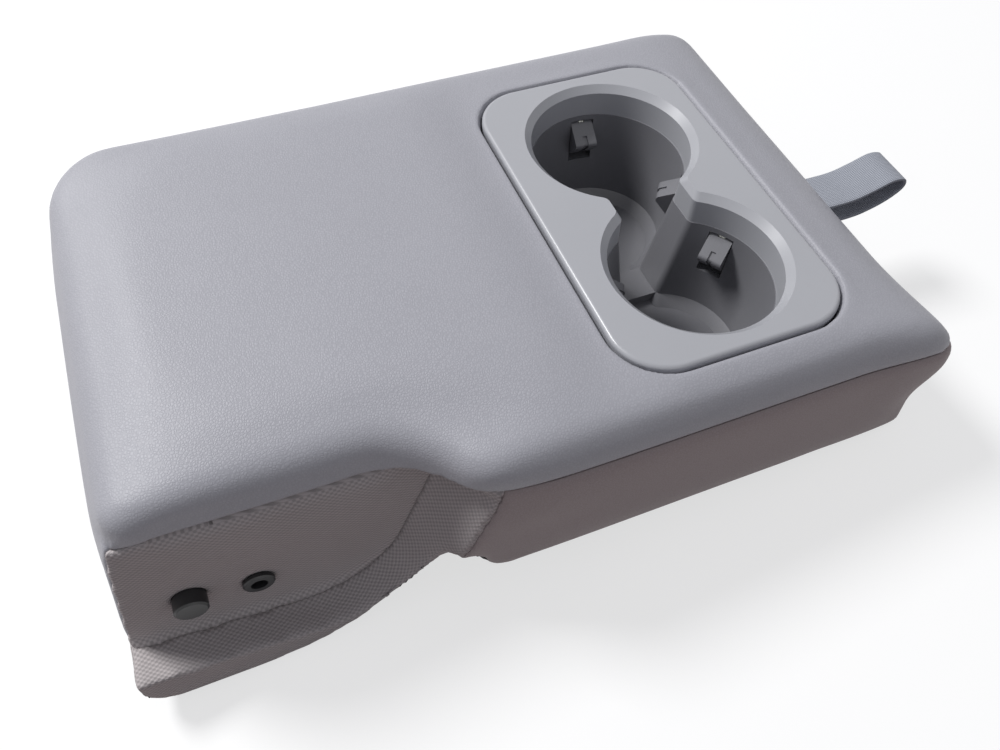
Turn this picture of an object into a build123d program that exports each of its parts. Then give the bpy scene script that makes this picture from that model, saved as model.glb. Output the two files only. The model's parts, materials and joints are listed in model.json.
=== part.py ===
from build123d import *
import math
import os

# Rear seat armrest. The frame's origin is on the fold axis, midway between the
# two cups: +X runs to the strap end, +Y away from the pocketed side, +Z up.
# All sizes are in millimetres.

# Cushion
TOP_Z = 70.0
SEAM_Z = 51.0
FRONT_TOP_X = 337.5
REAR_TOP_X = -15.0
FRONT_FLARE = 7.4
REAR_FLARE = 10.0
FRONT_BOW = 0.8
NEAR_Y = -110.0
FAR_Y = 123.5
POCKET_Y = -82.0
CHEEK_Y = -102.0
FRONT_UNDERSIDE_Z = -16.0
LOBE_UNDERSIDE_Z = -50.0
EDGE_ROLL = 12.0
NEAR_CORNER_R = 12.5
FAR_FRONT_CORNER_R = 20.0
FAR_REAR_CORNER_R = 34.0
FRONT_CROWN_START_X = 290.0
FRONT_ARCS = ((110.0, 12.0), (26.0, 33.0), (55.0, 39.0))
FRONT_TOE_R = 10.0
HEEL_R = 16.0
REAR_CROWN_START_X = 14.0
REAR_CROWN_DROP = 4.5
SKIN = 1.6
GLUE = 0.3
SLIT = 0.3

# Underside profile
LOBE_FLAT_END_X = 15.0
LOBE_SWEEP_R = 110.0
VALLEY_X = 106.0
VALLEY_Z = -2.0
VALLEY_WIDTH = 9.0
UNDERSIDE_CORNER_R = 7.0
VALLEY_R = 3.0

# Side pocket and the plan curve above it
POCKET_FLOOR_X = 36.0
POCKET_FLOOR_Z = -35.5
POCKET_FLOOR_TILT = 7.0
POCKET_SWEEP_R = 50.0
POCKET_WALL_ANGLE = 70.0
POCKET_LEAN_X = 16.0
POCKET_LEAN_Z = 3.0
POCKET_REACH = 1.5
CHEEK_TOP_Z = 12.0
UNDER_SEAM = 3.0
FRONT_STRIP_NEAR_Y = -97.0
FRONT_STRIP_FAR_Y = 104.0
REAR_STRIP_FAR_Y = 88.0
CROWN_OVERRUN = 1.2
JOG_X = 109.0
JOG_ANGLE = 56.0
JOG_END_X = 140.0
JOG_INNER_R = 39.5
CHEEK_EDGE_R = 5.0

# Cup holder
CUP_X = 240.4
CUP_Y = 41.6
MOUTH_R = 42.0
CHAMFER_DEPTH = 3.3
COLLAR_TOP_R = 38.7
COLLAR_BOTTOM_R = 38.2
BOWL_TOP_R = 37.8
BOWL_FLOOR_R = 33.0
NECK_TOP_HALF = 20.4
NECK_HALF = 18.4
NECK_FLOOR_HALF = 9.5
NECK_CORNER_R = 4.0
SADDLE_HEIGHT = 5.0
SADDLE_HALF = 9.0
BOWL_COVE = 5.0
CUP_DEPTH = 66.0
BEZEL_X = 238.5
BEZEL_LENGTH = 107.0
BEZEL_WIDTH = 182.0
BEZEL_CORNER_R = 24.0
BEZEL_PROUD = 0.6
BEZEL_PLATE = 3.0
BEZEL_EDGE_R = 2.0
BEZEL_HEIGHT = 15.6
BEZEL_WALL = 2.2
BEZEL_GAP = 1.2
BOWL_WALL = 2.0
FLANGE = 2.5
FLANGE_INSET = 1.0
BEZEL_SCREW_X = 39.5
BEZEL_SCREW_Y = 78.0
SCREW_R = 1.8
SCREW_HEAD_R = 3.6
SCREW_HEAD = 2.0
SCREW_LENGTH = 11.0
FLOOR_SCREW_LENGTH = 7.0
PILOT = 0.05
BOSS_R = 4.0
BOWL_BOSS = 5.0
BOWL_SCREW_X = 10.0
PRESS = 0.02

# Cup tabs
TAB_ANGLES = (84.0, -36.0, -156.0)
TAB_WIDTH = 11.5
TAB_SIDE_CLEARANCE = 0.4
TAB_HINGE_S = -2.5
TAB_HINGE_Z = 49.6
TAB_BARREL_R = 2.1
TAB_NOSE_S = 8.3
TAB_NOSE_Z = 43.4
TAB_NOSE_R = 2.2
TAB_FOOT_S = 2.6
TAB_FOOT_Z = 35.2
TAB_FOOT_R = 1.1
TAB_GROOVE = 2.4
TAB_GROOVE_DEPTH = 0.8
TAB_PIN_R = 1.0
RUNNING = 0.05
TAB_POCKET_DEPTH = 9.0
TAB_POCKET_WALL = 1.4
TAB_POCKET_FLOOR_Z = 29.0
TAB_WALL_R = 37.6
TAB_GROOVE_TOP_Z = 47.0
SPRING_WIRE = 0.5
SPRING_COIL_R = 1.6
SPRING_LENGTH = 2.6
SPRING_PITCH = 0.8
SPRING_GAP = 3.4

# Frame
TUBE_R = 6.0
TUBE_WALL = 1.5
TUBE_BEND_R = 30.0
TUBE_START_X = 20.0
TUBE_REAR_Z = 15.0
TUBE_JOG_START_X = 125.0
TUBE_JOG_END_X = 165.0
TUBE_NEAR_Y = -99.0
TUBE_FRONT_X = 310.0
PLATE = 3.0
PLATE_DEPTH_NEAR = 5.6
PLATE_DEPTH_FAR = 14.0
PLATE_PIVOT_R = 17.0
PLATE_STOP_R = 15.0
PLATE_TAIL_X = 70.0
PLATE_TAIL_R = 10.0
CROSS_STRAP = 2.5
CROSS_STRAP_WIDTH = 34.0
CROSS_STRAP_END = 5.0
BOARD = 3.0
BOARD_REAR_X = 130.0
BOARD_FRONT_MARGIN = 14.0
BOARD_SIDE_MARGIN = 6.0
BOARD_CORNER_R = 14.0

# Fold axis and stops
SHAFT_R = 5.0
BUSH_R = 7.0
BUSH_NECK_R = 6.6
BUSH_REACH = 6.5
BUSH_CAP = 1.6
STOP_X = 27.0
STOP_Z = -6.0
STOP_FLANGE_R = 6.75
STOP_FLANGE = 2.0
STOP_BODY_R = 5.5
STOP_BORE_R = 3.6
STOP_BORE_DEPTH = 9.0

# Pull strap
STRAP_WIDTH = 22.0
STRAP_Y = -8.0
STRAP = 1.6
STRAP_UPPER_Z = 49.0
STRAP_LOWER_Z = 39.0
STRAP_REACH = 39.0
STRAP_END_R = 7.5
STRAP_RISE = 5.5
ANCHOR = 2.0
ANCHOR_WIDTH = 28.0
ANCHOR_TOP_Z = 34.0
ANCHOR_RIVET_Z = (12.0, 24.0)
ANCHOR_TAIL_Z = 5.0
STRAP_BEND_R = 7.0
RIVET_R = 2.5
RIVET_HEAD_R = 4.5
RIVET_HEAD = 1.2
FOAM_CLEAR = 0.3
FAR_AWAY = 400.0

CUP_FLOOR_Z = TOP_Z - CUP_DEPTH
BEZEL_TOP_Z = TOP_Z + BEZEL_PROUD
BEZEL_FOOT_Z = BEZEL_TOP_Z - BEZEL_HEIGHT
FLANGE_UNDER_Z = BEZEL_FOOT_Z - FLANGE
BOWL_FOOT_Z = CUP_FLOOR_Z - BOWL_WALL - BOWL_BOSS
STRAP_UNDER_Z = BOWL_FOOT_Z - CROSS_STRAP
TUBE_Z = BOWL_FOOT_Z + TUBE_R
BOARD_Z = FRONT_UNDERSIDE_Z + SKIN + GLUE
PLATE_NEAR_Y = POCKET_Y + PLATE_DEPTH_NEAR
PLATE_FAR_Y = FAR_Y - PLATE_DEPTH_FAR
TUBE_REAR_NEAR_Y = PLATE_NEAR_Y + PLATE + TUBE_R
TUBE_FAR_Y = PLATE_FAR_Y - PLATE - TUBE_R
CUP_CENTRES = ((CUP_X, CUP_Y), (CUP_X, -CUP_Y))


def front_x(z):
    """X of the front face at the corners, at height z."""
    return FRONT_TOP_X + (TOP_Z - z) * math.tan(math.radians(FRONT_FLARE))


def rear_x(z):
    """X of the rear face at height z."""
    return REAR_TOP_X - (TOP_Z - z) * math.tan(math.radians(REAR_FLARE))


def across(shape, y_from, y_to):
    """A sketch in X and Z made solid between two values of Y."""
    return extrude(Plane.XZ.offset(-y_from) * shape, amount=-(y_to - y_from))


def box_between(low, high):
    """A block given by its lowest and highest corners."""
    size = [b - a for a, b in zip(low, high)]
    middle = [(a + b) / 2 for a, b in zip(low, high)]
    return Pos(*middle) * Box(*size)


def plan_outline(z, inset):
    """The cushion's plan at height z, drawn in by inset on every side."""
    rear = rear_x(z) + inset
    front = front_x(z) - inset
    near = NEAR_Y + inset
    far = FAR_Y - inset
    nose = (front + FRONT_BOW, (near + far) / 2)
    edge = Polyline((front, far), (rear, far), (rear, near), (front, near))
    edge += ThreePointArc((front, near), nose, (front, far))
    face = make_face(edge)
    face = fillet(face.vertices().filter_by(lambda v: v.Y < 0), NEAR_CORNER_R - inset)
    far_front = face.vertices().filter_by(lambda v: abs(v.X - front) < 0.01 and abs(v.Y - far) < 0.01)
    face = fillet(far_front, FAR_FRONT_CORNER_R - inset)
    far_rear = face.vertices().filter_by(lambda v: abs(v.X - rear) < 0.01 and abs(v.Y - far) < 0.01)
    return fillet(far_rear, FAR_REAR_CORNER_R - inset)


def underside_sketch(lift):
    """Everything below the underside's profile in X and Z, raised by lift."""
    left = rear_x(LOBE_UNDERSIDE_Z) - FAR_AWAY
    right = FAR_AWAY * 2
    heel_z = LOBE_UNDERSIDE_Z + HEEL_R
    heel = CenterArc((rear_x(heel_z) + HEEL_R, heel_z), HEEL_R, 180, 90)
    sweep_angle = math.degrees(math.asin((VALLEY_X - LOBE_FLAT_END_X) / LOBE_SWEEP_R))
    flat = Line(heel @ 1, (LOBE_FLAT_END_X, LOBE_UNDERSIDE_Z))
    lobe = CenterArc((LOBE_FLAT_END_X, LOBE_UNDERSIDE_Z + LOBE_SWEEP_R), LOBE_SWEEP_R, -90, sweep_angle)
    end = lobe @ 1
    valley_end = end.X + VALLEY_WIDTH
    toe_z = FRONT_UNDERSIDE_Z + FRONT_TOE_R
    toe_x = front_x(toe_z) - FRONT_TOE_R
    block = FilletPolyline(
        (end.X, end.Y),
        (valley_end, end.Y + VALLEY_R),
        (valley_end + VALLEY_R, FRONT_UNDERSIDE_Z),
        (toe_x, FRONT_UNDERSIDE_Z),
        radius=VALLEY_R,
    )
    toe = CenterArc((toe_x, toe_z), FRONT_TOE_R, -90, 90)
    under = Polyline(toe @ 1, (right, toe_z), (right, -FAR_AWAY), (left, -FAR_AWAY), (left, heel_z), heel @ 0)
    face = make_face(heel + flat + lobe + block + toe + under)
    if lift:
        face = offset(face, amount=lift, kind=Kind.ARC)
    return face


def pocket_profile(grow):
    """The pocket's opening in X and Z at its floor, grown by grow."""
    tilt = math.radians(POCKET_FLOOR_TILT)
    run = POCKET_FLOOR_X + FAR_AWAY / 4
    start = (POCKET_FLOOR_X - run, POCKET_FLOOR_Z + run * math.tan(tilt))
    floor = Line(start, (POCKET_FLOOR_X, POCKET_FLOOR_Z))
    rise = POCKET_SWEEP_R * math.cos(tilt)
    centre = (POCKET_FLOOR_X + POCKET_SWEEP_R * math.sin(tilt), POCKET_FLOOR_Z + rise)
    sweep_arc = CenterArc(centre, POCKET_SWEEP_R, -90 - POCKET_FLOOR_TILT, POCKET_FLOOR_TILT + POCKET_WALL_ANGLE)
    top = FAR_AWAY / 3
    end = sweep_arc @ 1
    wall_end = (end.X + (top - end.Y) / math.tan(math.radians(POCKET_WALL_ANGLE)), top)
    lid = Polyline((end.X, end.Y), wall_end, (start[0], top), start)
    face = make_face(floor + sweep_arc + lid)
    if grow:
        face = offset(face, amount=grow, kind=Kind.ARC)
    return face


def pocket_cutter(grow):
    """The space of the side pocket: its opening leans forward as it comes out."""
    profile = pocket_profile(grow)
    reach = (POCKET_Y - NEAR_Y) * POCKET_REACH
    mouth = Pos(POCKET_LEAN_X * POCKET_REACH, POCKET_LEAN_Z * POCKET_REACH) * profile
    floor_level = Plane.XZ.offset(-POCKET_Y - grow)
    return loft([floor_level * profile, floor_level.offset(reach) * mouth], ruled=True)


def jog_outline(z, inset):
    """The plan above the side seam, with the S-shaped step to the pocket side."""
    angle = math.radians(JOG_ANGLE)
    outer_r = (POCKET_Y - NEAR_Y) / (1 - math.cos(angle)) - JOG_INNER_R
    inner_x = JOG_X - JOG_INNER_R * math.sin(angle)
    outer_x = JOG_X + outer_r * math.sin(angle)
    rear = rear_x(z) - FAR_AWAY / 8
    low = NEAR_Y - FAR_AWAY / 8
    inner = CenterArc((inner_x, POCKET_Y - JOG_INNER_R), JOG_INNER_R, 90, -JOG_ANGLE)
    outer = CenterArc((outer_x, NEAR_Y + outer_r), outer_r, 270 - JOG_ANGLE, JOG_ANGLE)
    rest = Polyline(outer @ 1, (outer_x, low), (rear, low), (rear, POCKET_Y), inner @ 0)
    cut = make_face(inner + outer + rest)
    if inset:
        cut = offset(cut, amount=inset, kind=Kind.ARC)
    return plan_outline(z, inset) - cut


def crown_sketch(inset, low):
    """The side view down to low: flat on top, and falling away at both ends."""
    top = TOP_Z - inset
    rear_run = REAR_CROWN_START_X - rear_x(TOP_Z)
    rear_r = (rear_run**2 + REAR_CROWN_DROP**2) / (2 * REAR_CROWN_DROP)
    rear_angle = math.degrees(math.asin(rear_run / rear_r)) * CROWN_OVERRUN
    rear = CenterArc((REAR_CROWN_START_X, top - rear_r), rear_r, 90 + rear_angle, -rear_angle)
    front = Line(rear @ 1, (FRONT_CROWN_START_X, top))
    for radius, angle in FRONT_ARCS:
        front += JernArc(start=front @ 1, tangent=front % 1, radius=radius - inset, arc_size=-angle)
    front_end = front @ 1
    rear_end = rear @ 0
    toe = front_end + (front % 1) * (front_end.Y - low)
    rest = Polyline(front_end, toe, (toe.X, low), (rear_end.X - FAR_AWAY / 8, low))
    rest += Polyline((rear_end.X - FAR_AWAY / 8, low), (rear_end.X - FAR_AWAY / 8, rear_end.Y), rear_end)
    return make_face(rear + front + rest)


def rolled(outline, low, inset):
    """A soft block down to low: a sharp core, grown back out to roll its rim."""
    core = loft([Pos(0, 0, z) * outline(z, EDGE_ROLL) for z in (low, TOP_Z)], ruled=True)
    core = core & across(crown_sketch(EDGE_ROLL, low), NEAR_Y * 2, FAR_Y * 2)
    return offset(core, amount=EDGE_ROLL - inset, kind=Kind.ARC)


def cushion(inset):
    """The whole cushion, drawn in by inset from its outer surface."""
    body = rolled(plan_outline, LOBE_UNDERSIDE_Z - EDGE_ROLL * 2, inset)
    body -= across(underside_sketch(inset), NEAR_Y * 2, FAR_Y * 2)
    above_pocket = box_between((-FAR_AWAY, -FAR_AWAY, SEAM_Z), (JOG_END_X, POCKET_Y + EDGE_ROLL * 2, FAR_AWAY))
    body -= above_pocket - rolled(jog_outline, SEAM_Z - EDGE_ROLL * 2, inset)
    body -= pocket_cutter(inset) & box_between((-FAR_AWAY, -FAR_AWAY, -FAR_AWAY), (FAR_AWAY, FAR_AWAY, SEAM_Z))
    body -= box_between((-FAR_AWAY, -FAR_AWAY, -FAR_AWAY), (VALLEY_X - inset, CHEEK_Y + inset, CHEEK_TOP_Z))
    return body


def one_piece(shape):
    """The main solid of a shape, without the crumbs that a cut can leave."""
    return shape.solids().sort_by(SortBy.VOLUME)[-1]


def ring_group(solids):
    """Several separate solids kept together as one part."""
    return Compound(children=list(solids))


def rod(radius, y_from, y_to, x=0.0, z=0.0):
    """A round bar that runs along Y."""
    return across(Pos(x, z) * Circle(radius), y_from, y_to)


def post(radius, x, y, z_from, z_to):
    """A round bar that stands upright."""
    return Pos(x, y, (z_from + z_to) / 2) * Cylinder(radius, z_to - z_from)


def rounded_block(x, y, length, width, radius, z_from, z_to):
    """An upright block with rounded corners, centred on x and y."""
    return Pos(x, y, z_from) * extrude(RectangleRounded(length, width, radius), amount=z_to - z_from)


def skins():
    """The six sewn panels of the cover, as a mapping from name to solid."""
    edge = FAR_AWAY
    shell = cushion(0.0) - cushion(SKIN)
    shell = shell - bezel_opening(BEZEL_GAP)
    under = across(underside_sketch(UNDER_SEAM), NEAR_Y * 2, FAR_Y * 2)
    over = across(underside_sketch(UNDER_SEAM + SLIT), NEAR_Y * 2, FAR_Y * 2)
    seam = SEAM_Z - SLIT
    pocket = pocket_cutter(SKIN + GLUE / 2) & box_between((-edge, -edge, -edge), (edge, edge, seam))
    pocket_wide = pocket_cutter(SKIN + SLIT + GLUE / 2)
    outboard = box_between((-edge, -edge, -edge), (edge, POCKET_Y - SLIT, edge))
    cheek = box_between((-edge, -edge, -edge), (VALLEY_X, CHEEK_Y + SKIN + GLUE, CHEEK_TOP_Z))
    heel = box_between((-edge, -edge, -edge), (0.0, POCKET_Y - SLIT, CHEEK_TOP_Z))
    strip = box_between((-edge, -edge, SEAM_Z), (edge, edge, edge))
    strip += box_between((FRONT_CROWN_START_X, FRONT_STRIP_NEAR_Y, -edge), (edge, FRONT_STRIP_FAR_Y, edge))
    strip += box_between((-edge, POCKET_Y + SKIN + SLIT, -edge), (0.0, REAR_STRIP_FAR_Y, edge))
    near_side = box_between((0.0, -edge, -edge), (edge, FRONT_STRIP_NEAR_Y - SLIT, seam))
    far_side = box_between((FRONT_CROWN_START_X, FRONT_STRIP_FAR_Y + SLIT, -edge), (edge, edge, seam))
    far_side += box_between((-edge, REAR_STRIP_FAR_Y + SLIT, -edge), (FRONT_CROWN_START_X, edge, seam))
    lower = shell - over
    panels = {
        "top_cover": shell & strip - over,
        "pocket_panel": (lower & pocket) - outboard,
        "pocket_band": lower & ((pocket & outboard) + cheek + heel),
        "front_side_cover": (lower & near_side) - pocket_wide - grown_box(cheek) - grown_box(heel),
        "far_side_cover": lower & far_side,
        "bottom_cover": shell & under,
    }
    return {name: one_piece(shape) for name, shape in panels.items()}


def grown_box(block):
    """A block drawn out by the slit between two panels."""
    box = block.bounding_box()
    return box_between(tuple(box.min - Vector(SLIT, SLIT, SLIT)), tuple(box.max + Vector(SLIT, SLIT, SLIT)))


def bezel_opening(gap):
    """The upright hole that the cup unit drops into."""
    length = BEZEL_LENGTH + gap * 2
    width = BEZEL_WIDTH + gap * 2
    return rounded_block(BEZEL_X, 0.0, length, width, BEZEL_CORNER_R + gap, BOARD_Z + BOARD, TOP_Z + EDGE_ROLL)


def opening(radius, neck_half, corner):
    """The plan of the two cups joined by their neck."""
    plan = Pos(CUP_X, CUP_Y) * Circle(radius) + Pos(CUP_X, -CUP_Y) * Circle(radius)
    plan += Pos(CUP_X, 0) * Rectangle(neck_half * 2, CUP_Y * 2)
    neck = plan.vertices().filter_by(lambda v: abs(abs(v.X - CUP_X) - neck_half) < 0.01 and abs(v.Y) < CUP_Y)
    return fillet(neck, corner)


def opening_loft(low, high, corner):
    """A solid between two plans, each given as height, cup radius and neck half."""
    sections = [Pos(0, 0, z) * opening(radius, neck, corner) for z, radius, neck in (low, high)]
    return loft(sections, ruled=True)


def bezel_screw_places():
    """The four screws that hold the bezel, as pairs of x and y."""
    return [(BEZEL_X + i * BEZEL_SCREW_X, j * BEZEL_SCREW_Y) for i in (-1, 1) for j in (-1, 1)]


def bowl_screw_places():
    """The four screws that hold the bowl down on its strap, as pairs of x and y."""
    return [(CUP_X + i * BOWL_SCREW_X, j * CUP_Y) for i in (-1, 1) for j in (-1, 1)]


def bezel():
    """The pale rim with its chamfered mouth, its collar and its skirt."""
    body = rounded_block(BEZEL_X, 0, BEZEL_LENGTH, BEZEL_WIDTH, BEZEL_CORNER_R, BEZEL_FOOT_Z, BEZEL_TOP_Z)
    body = fillet(body.edges().group_by(Axis.Z)[-1], BEZEL_EDGE_R)
    inner_length = BEZEL_LENGTH - BEZEL_WALL * 2
    inner_width = BEZEL_WIDTH - BEZEL_WALL * 2
    inner_r = BEZEL_CORNER_R - BEZEL_WALL
    under_plate = BEZEL_TOP_Z - BEZEL_PLATE
    body -= rounded_block(BEZEL_X, 0, inner_length, inner_width, inner_r, BEZEL_FOOT_Z, under_plate)
    for x, y in bezel_screw_places():
        body += post(BOSS_R, x, y, BEZEL_FOOT_Z, under_plate)
    collar = opening(COLLAR_TOP_R + BEZEL_WALL, NECK_HALF + BEZEL_WALL, NECK_CORNER_R - BEZEL_WALL)
    body += Pos(0, 0, BEZEL_FOOT_Z) * extrude(collar, amount=under_plate - BEZEL_FOOT_Z)
    chamfer_z = BEZEL_TOP_Z - CHAMFER_DEPTH
    body -= opening_loft(
        (chamfer_z, COLLAR_TOP_R, NECK_HALF),
        (BEZEL_TOP_Z, MOUTH_R, NECK_TOP_HALF),
        NECK_CORNER_R,
    )
    body -= opening_loft(
        (BEZEL_FOOT_Z, COLLAR_BOTTOM_R, NECK_HALF - 0.2),
        (chamfer_z, COLLAR_TOP_R, NECK_HALF),
        NECK_CORNER_R,
    )
    for x, y in bezel_screw_places():
        body -= post(SCREW_R + PILOT, x, y, BEZEL_FOOT_Z, FLANGE_UNDER_Z + SCREW_LENGTH + PILOT)
    return body


def tab_plane(centre, angle):
    """The upright plane of one tab: local X runs into the cup, local Y runs up."""
    turn = math.radians(angle)
    out = (math.cos(turn), math.sin(turn))
    origin = (centre[0] + TAB_WALL_R * out[0], centre[1] + TAB_WALL_R * out[1], 0)
    return Plane(origin=origin, x_dir=(-out[0], -out[1], 0), z_dir=(-out[1], out[0], 0))


def tab_places():
    """The planes of the six tabs: three to a cup, one cup the mirror of the other."""
    far = [tab_plane(CUP_CENTRES[0], angle) for angle in TAB_ANGLES]
    near = [tab_plane(CUP_CENTRES[1], -angle) for angle in TAB_ANGLES]
    return far + near


def slab_in(plane, s_low, s_high, z_low, z_high, width):
    """A block in one tab's plane, centred on the plane."""
    middle = ((s_low + s_high) / 2, (z_low + z_high) / 2)
    sketch = Pos(*middle) * Rectangle(s_high - s_low, z_high - z_low)
    return extrude(plane * sketch, amount=width / 2, both=True)


def coved(floor_z, radius, neck, grow):
    """The cups' inside from floor to flange, with a sloped cove round the floor."""
    cove = BOWL_COVE - grow / 2
    corner = NECK_CORNER_R - grow
    levels = [
        (floor_z, radius - cove, neck - cove / 2),
        (floor_z + cove, radius, neck),
        (BEZEL_FOOT_Z, BOWL_TOP_R + grow, NECK_HALF - 0.4 + grow),
    ]
    return opening_loft(levels[0], levels[1], corner) + opening_loft(levels[1], levels[2], corner)


def bowl():
    """The two cups in one moulding, with a boxed window behind every tab."""
    wall = BOWL_WALL
    body = coved(CUP_FLOOR_Z - wall, BOWL_FLOOR_R + wall, NECK_FLOOR_HALF + wall, wall)
    length = BEZEL_LENGTH - FLANGE_INSET * 2
    width = BEZEL_WIDTH - FLANGE_INSET * 2
    corner = BEZEL_CORNER_R - FLANGE_INSET
    body += rounded_block(BEZEL_X, 0, length, width, corner, FLANGE_UNDER_Z, BEZEL_FOOT_Z)
    outer_s = -TAB_POCKET_DEPTH - TAB_POCKET_WALL
    pocket_width = TAB_WIDTH + TAB_SIDE_CLEARANCE * 2
    box_width = pocket_width + TAB_POCKET_WALL * 2
    for plane in tab_places():
        body += slab_in(plane, outer_s, 0.0, TAB_POCKET_FLOOR_Z - TAB_POCKET_WALL, BEZEL_FOOT_Z, box_width)
    for x, y in bowl_screw_places():
        body += post(BOSS_R, x, y, BOWL_FOOT_Z, CUP_FLOOR_Z - wall + 0.5)
    hollow = coved(CUP_FLOOR_Z, BOWL_FLOOR_R, NECK_FLOOR_HALF, 0.0)
    saddle_low = (CUP_X - NECK_TOP_HALF, -SADDLE_HALF, CUP_FLOOR_Z - wall)
    saddle_high = (CUP_X + NECK_TOP_HALF, SADDLE_HALF, CUP_FLOOR_Z + SADDLE_HEIGHT)
    hollow -= box_between(saddle_low, saddle_high)
    body -= hollow
    reach = TAB_WALL_R - BOWL_FLOOR_R + wall
    for plane in tab_places():
        body -= slab_in(plane, -TAB_POCKET_DEPTH, reach, TAB_POCKET_FLOOR_Z, FLANGE_UNDER_Z, pocket_width)
        body -= pin_in(plane, TAB_PIN_R + PRESS)
    for x, y in bowl_screw_places():
        body -= post(SCREW_R + PILOT, x, y, BOWL_FOOT_Z, STRAP_UNDER_Z + FLOOR_SCREW_LENGTH + PILOT)
    for x, y in bezel_screw_places():
        body -= post(SCREW_R + PILOT, x, y, FLANGE_UNDER_Z, BEZEL_FOOT_Z)
    return body


def pin_in(plane, radius):
    """The hinge pin of one tab."""
    length = TAB_WIDTH + (TAB_SIDE_CLEARANCE + TAB_POCKET_WALL) * 2
    return extrude(plane * (Pos(TAB_HINGE_S, TAB_HINGE_Z) * Circle(radius)), amount=length / 2, both=True)


def tab(plane):
    """One wedge-shaped cup tab, with a groove between two ribs on its face."""
    barrel = Pos(TAB_HINGE_S, TAB_HINGE_Z) * Circle(TAB_BARREL_R)
    nose = Pos(TAB_NOSE_S, TAB_NOSE_Z) * Circle(TAB_NOSE_R)
    foot = Pos(TAB_FOOT_S, TAB_FOOT_Z) * Circle(TAB_FOOT_R)
    wedge = make_hull(barrel.edges() + nose.edges() + foot.edges())
    body = extrude(plane * wedge, amount=TAB_WIDTH / 2, both=True)
    rim = wedge - offset(wedge, amount=-TAB_GROOVE_DEPTH)
    rim = rim & (Pos(CUP_X / 2, TAB_FOOT_Z) * Rectangle(CUP_X, (TAB_GROOVE_TOP_Z - TAB_FOOT_Z) * 2))
    body -= extrude(plane * rim, amount=TAB_GROOVE / 2, both=True)
    pin_hole = Pos(TAB_HINGE_S, TAB_HINGE_Z) * Circle(TAB_PIN_R + RUNNING)
    body -= extrude(plane * pin_hole, amount=TAB_WIDTH, both=True)
    coil_room = Pos(TAB_HINGE_S, TAB_HINGE_Z) * Circle(TAB_BARREL_R + 0.4)
    body -= extrude(plane * coil_room, amount=SPRING_GAP / 2, both=True)
    return one_piece(body)


def tab_spring(plane):
    """The flat-wire torsion coil on one tab's pin."""
    ring = Circle(SPRING_COIL_R + SPRING_WIRE / 2) - Circle(SPRING_COIL_R - SPRING_WIRE / 2)
    ring -= Pos(SPRING_COIL_R, 0) * Rectangle(SPRING_COIL_R * 2, SPRING_WIRE / 2)
    turn = Pos(TAB_HINGE_S, TAB_HINGE_Z) * ring
    places = [(i - 1) * SPRING_PITCH for i in range(3)]
    coils = [extrude(plane.offset(place) * turn, amount=SPRING_WIRE / 2, both=True) for place in places]
    bridge = Pos(TAB_HINGE_S - SPRING_COIL_R, TAB_HINGE_Z) * Rectangle(SPRING_WIRE, SPRING_WIRE)
    coils.append(extrude(plane * bridge, amount=SPRING_LENGTH / 2, both=True))
    return one_piece(Part() + coils)


def frame_path():
    """The centre line of the bent tube, from the near rear end round to the far one."""
    points = [
        (TUBE_START_X, TUBE_REAR_NEAR_Y, TUBE_REAR_Z),
        (TUBE_JOG_START_X, TUBE_REAR_NEAR_Y, TUBE_REAR_Z),
        (TUBE_JOG_END_X, TUBE_NEAR_Y, TUBE_Z),
        (TUBE_FRONT_X, TUBE_NEAR_Y, TUBE_Z),
        (TUBE_FRONT_X, TUBE_FAR_Y, TUBE_Z),
        (TUBE_JOG_END_X, TUBE_FAR_Y, TUBE_Z),
        (TUBE_JOG_START_X, TUBE_FAR_Y, TUBE_REAR_Z),
        (TUBE_START_X, TUBE_FAR_Y, TUBE_REAR_Z),
    ]
    return FilletPolyline(*points, radius=TUBE_BEND_R)


def frame_tube():
    """The bent steel tube."""
    path = frame_path()
    ring = Circle(TUBE_R) - Circle(TUBE_R - TUBE_WALL)
    return sweep(Plane(origin=path @ 0, z_dir=path % 0) * ring, path=path)


def tube_channel():
    """The square-cut channel in the foam that the tube lies in."""
    path = frame_path()
    side = (TUBE_R + GLUE) * 2
    start = Plane(origin=path @ 0, x_dir=(0, 1, 0), z_dir=path % 0)
    return sweep(start * Rectangle(side, side), path=path)


def plate_outline(grow=0.0):
    """The side plate's outline, round its pivot, its stop and its tail."""
    circles = Pos(0, 0) * Circle(PLATE_PIVOT_R + grow)
    stop = Pos(STOP_X, STOP_Z) * Circle(PLATE_STOP_R + grow)
    tail = Pos(PLATE_TAIL_X, TUBE_REAR_Z) * Circle(PLATE_TAIL_R + grow)
    return make_hull(circles.edges() + stop.edges() + tail.edges())


def side_plate(y_from):
    """One steel plate, with its holes for the shaft and the stop bush."""
    sketch = plate_outline() - Pos(0, 0) * Circle(SHAFT_R + PRESS)
    sketch -= Pos(STOP_X, STOP_Z) * Circle(STOP_BODY_R + PRESS)
    return across(sketch, y_from, y_from + PLATE)


def pivot_bush(side):
    """The fixed sleeve at one end of the shaft: side is -1 near or +1 far."""
    face = POCKET_Y if side < 0 else FAR_Y
    plate = PLATE_NEAR_Y if side < 0 else PLATE_FAR_Y
    tip = face + side * BUSH_REACH
    root = plate + side * GLUE
    body = rod(BUSH_R, *sorted((face + side * GLUE, tip)))
    body = chamfer(body.edges().sort_by(Axis.Y)[-1 if side > 0 else 0], 0.8)
    body += rod(BUSH_NECK_R, *sorted((root, face + side * GLUE)))
    return body - rod(SHAFT_R + RUNNING, *sorted((root, tip - side * BUSH_CAP)))


def shaft():
    """The steel shaft that the armrest turns on."""
    near = POCKET_Y - BUSH_REACH + BUSH_CAP + GLUE
    far = FAR_Y + BUSH_REACH - BUSH_CAP - GLUE
    return rod(SHAFT_R, near, far)


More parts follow.
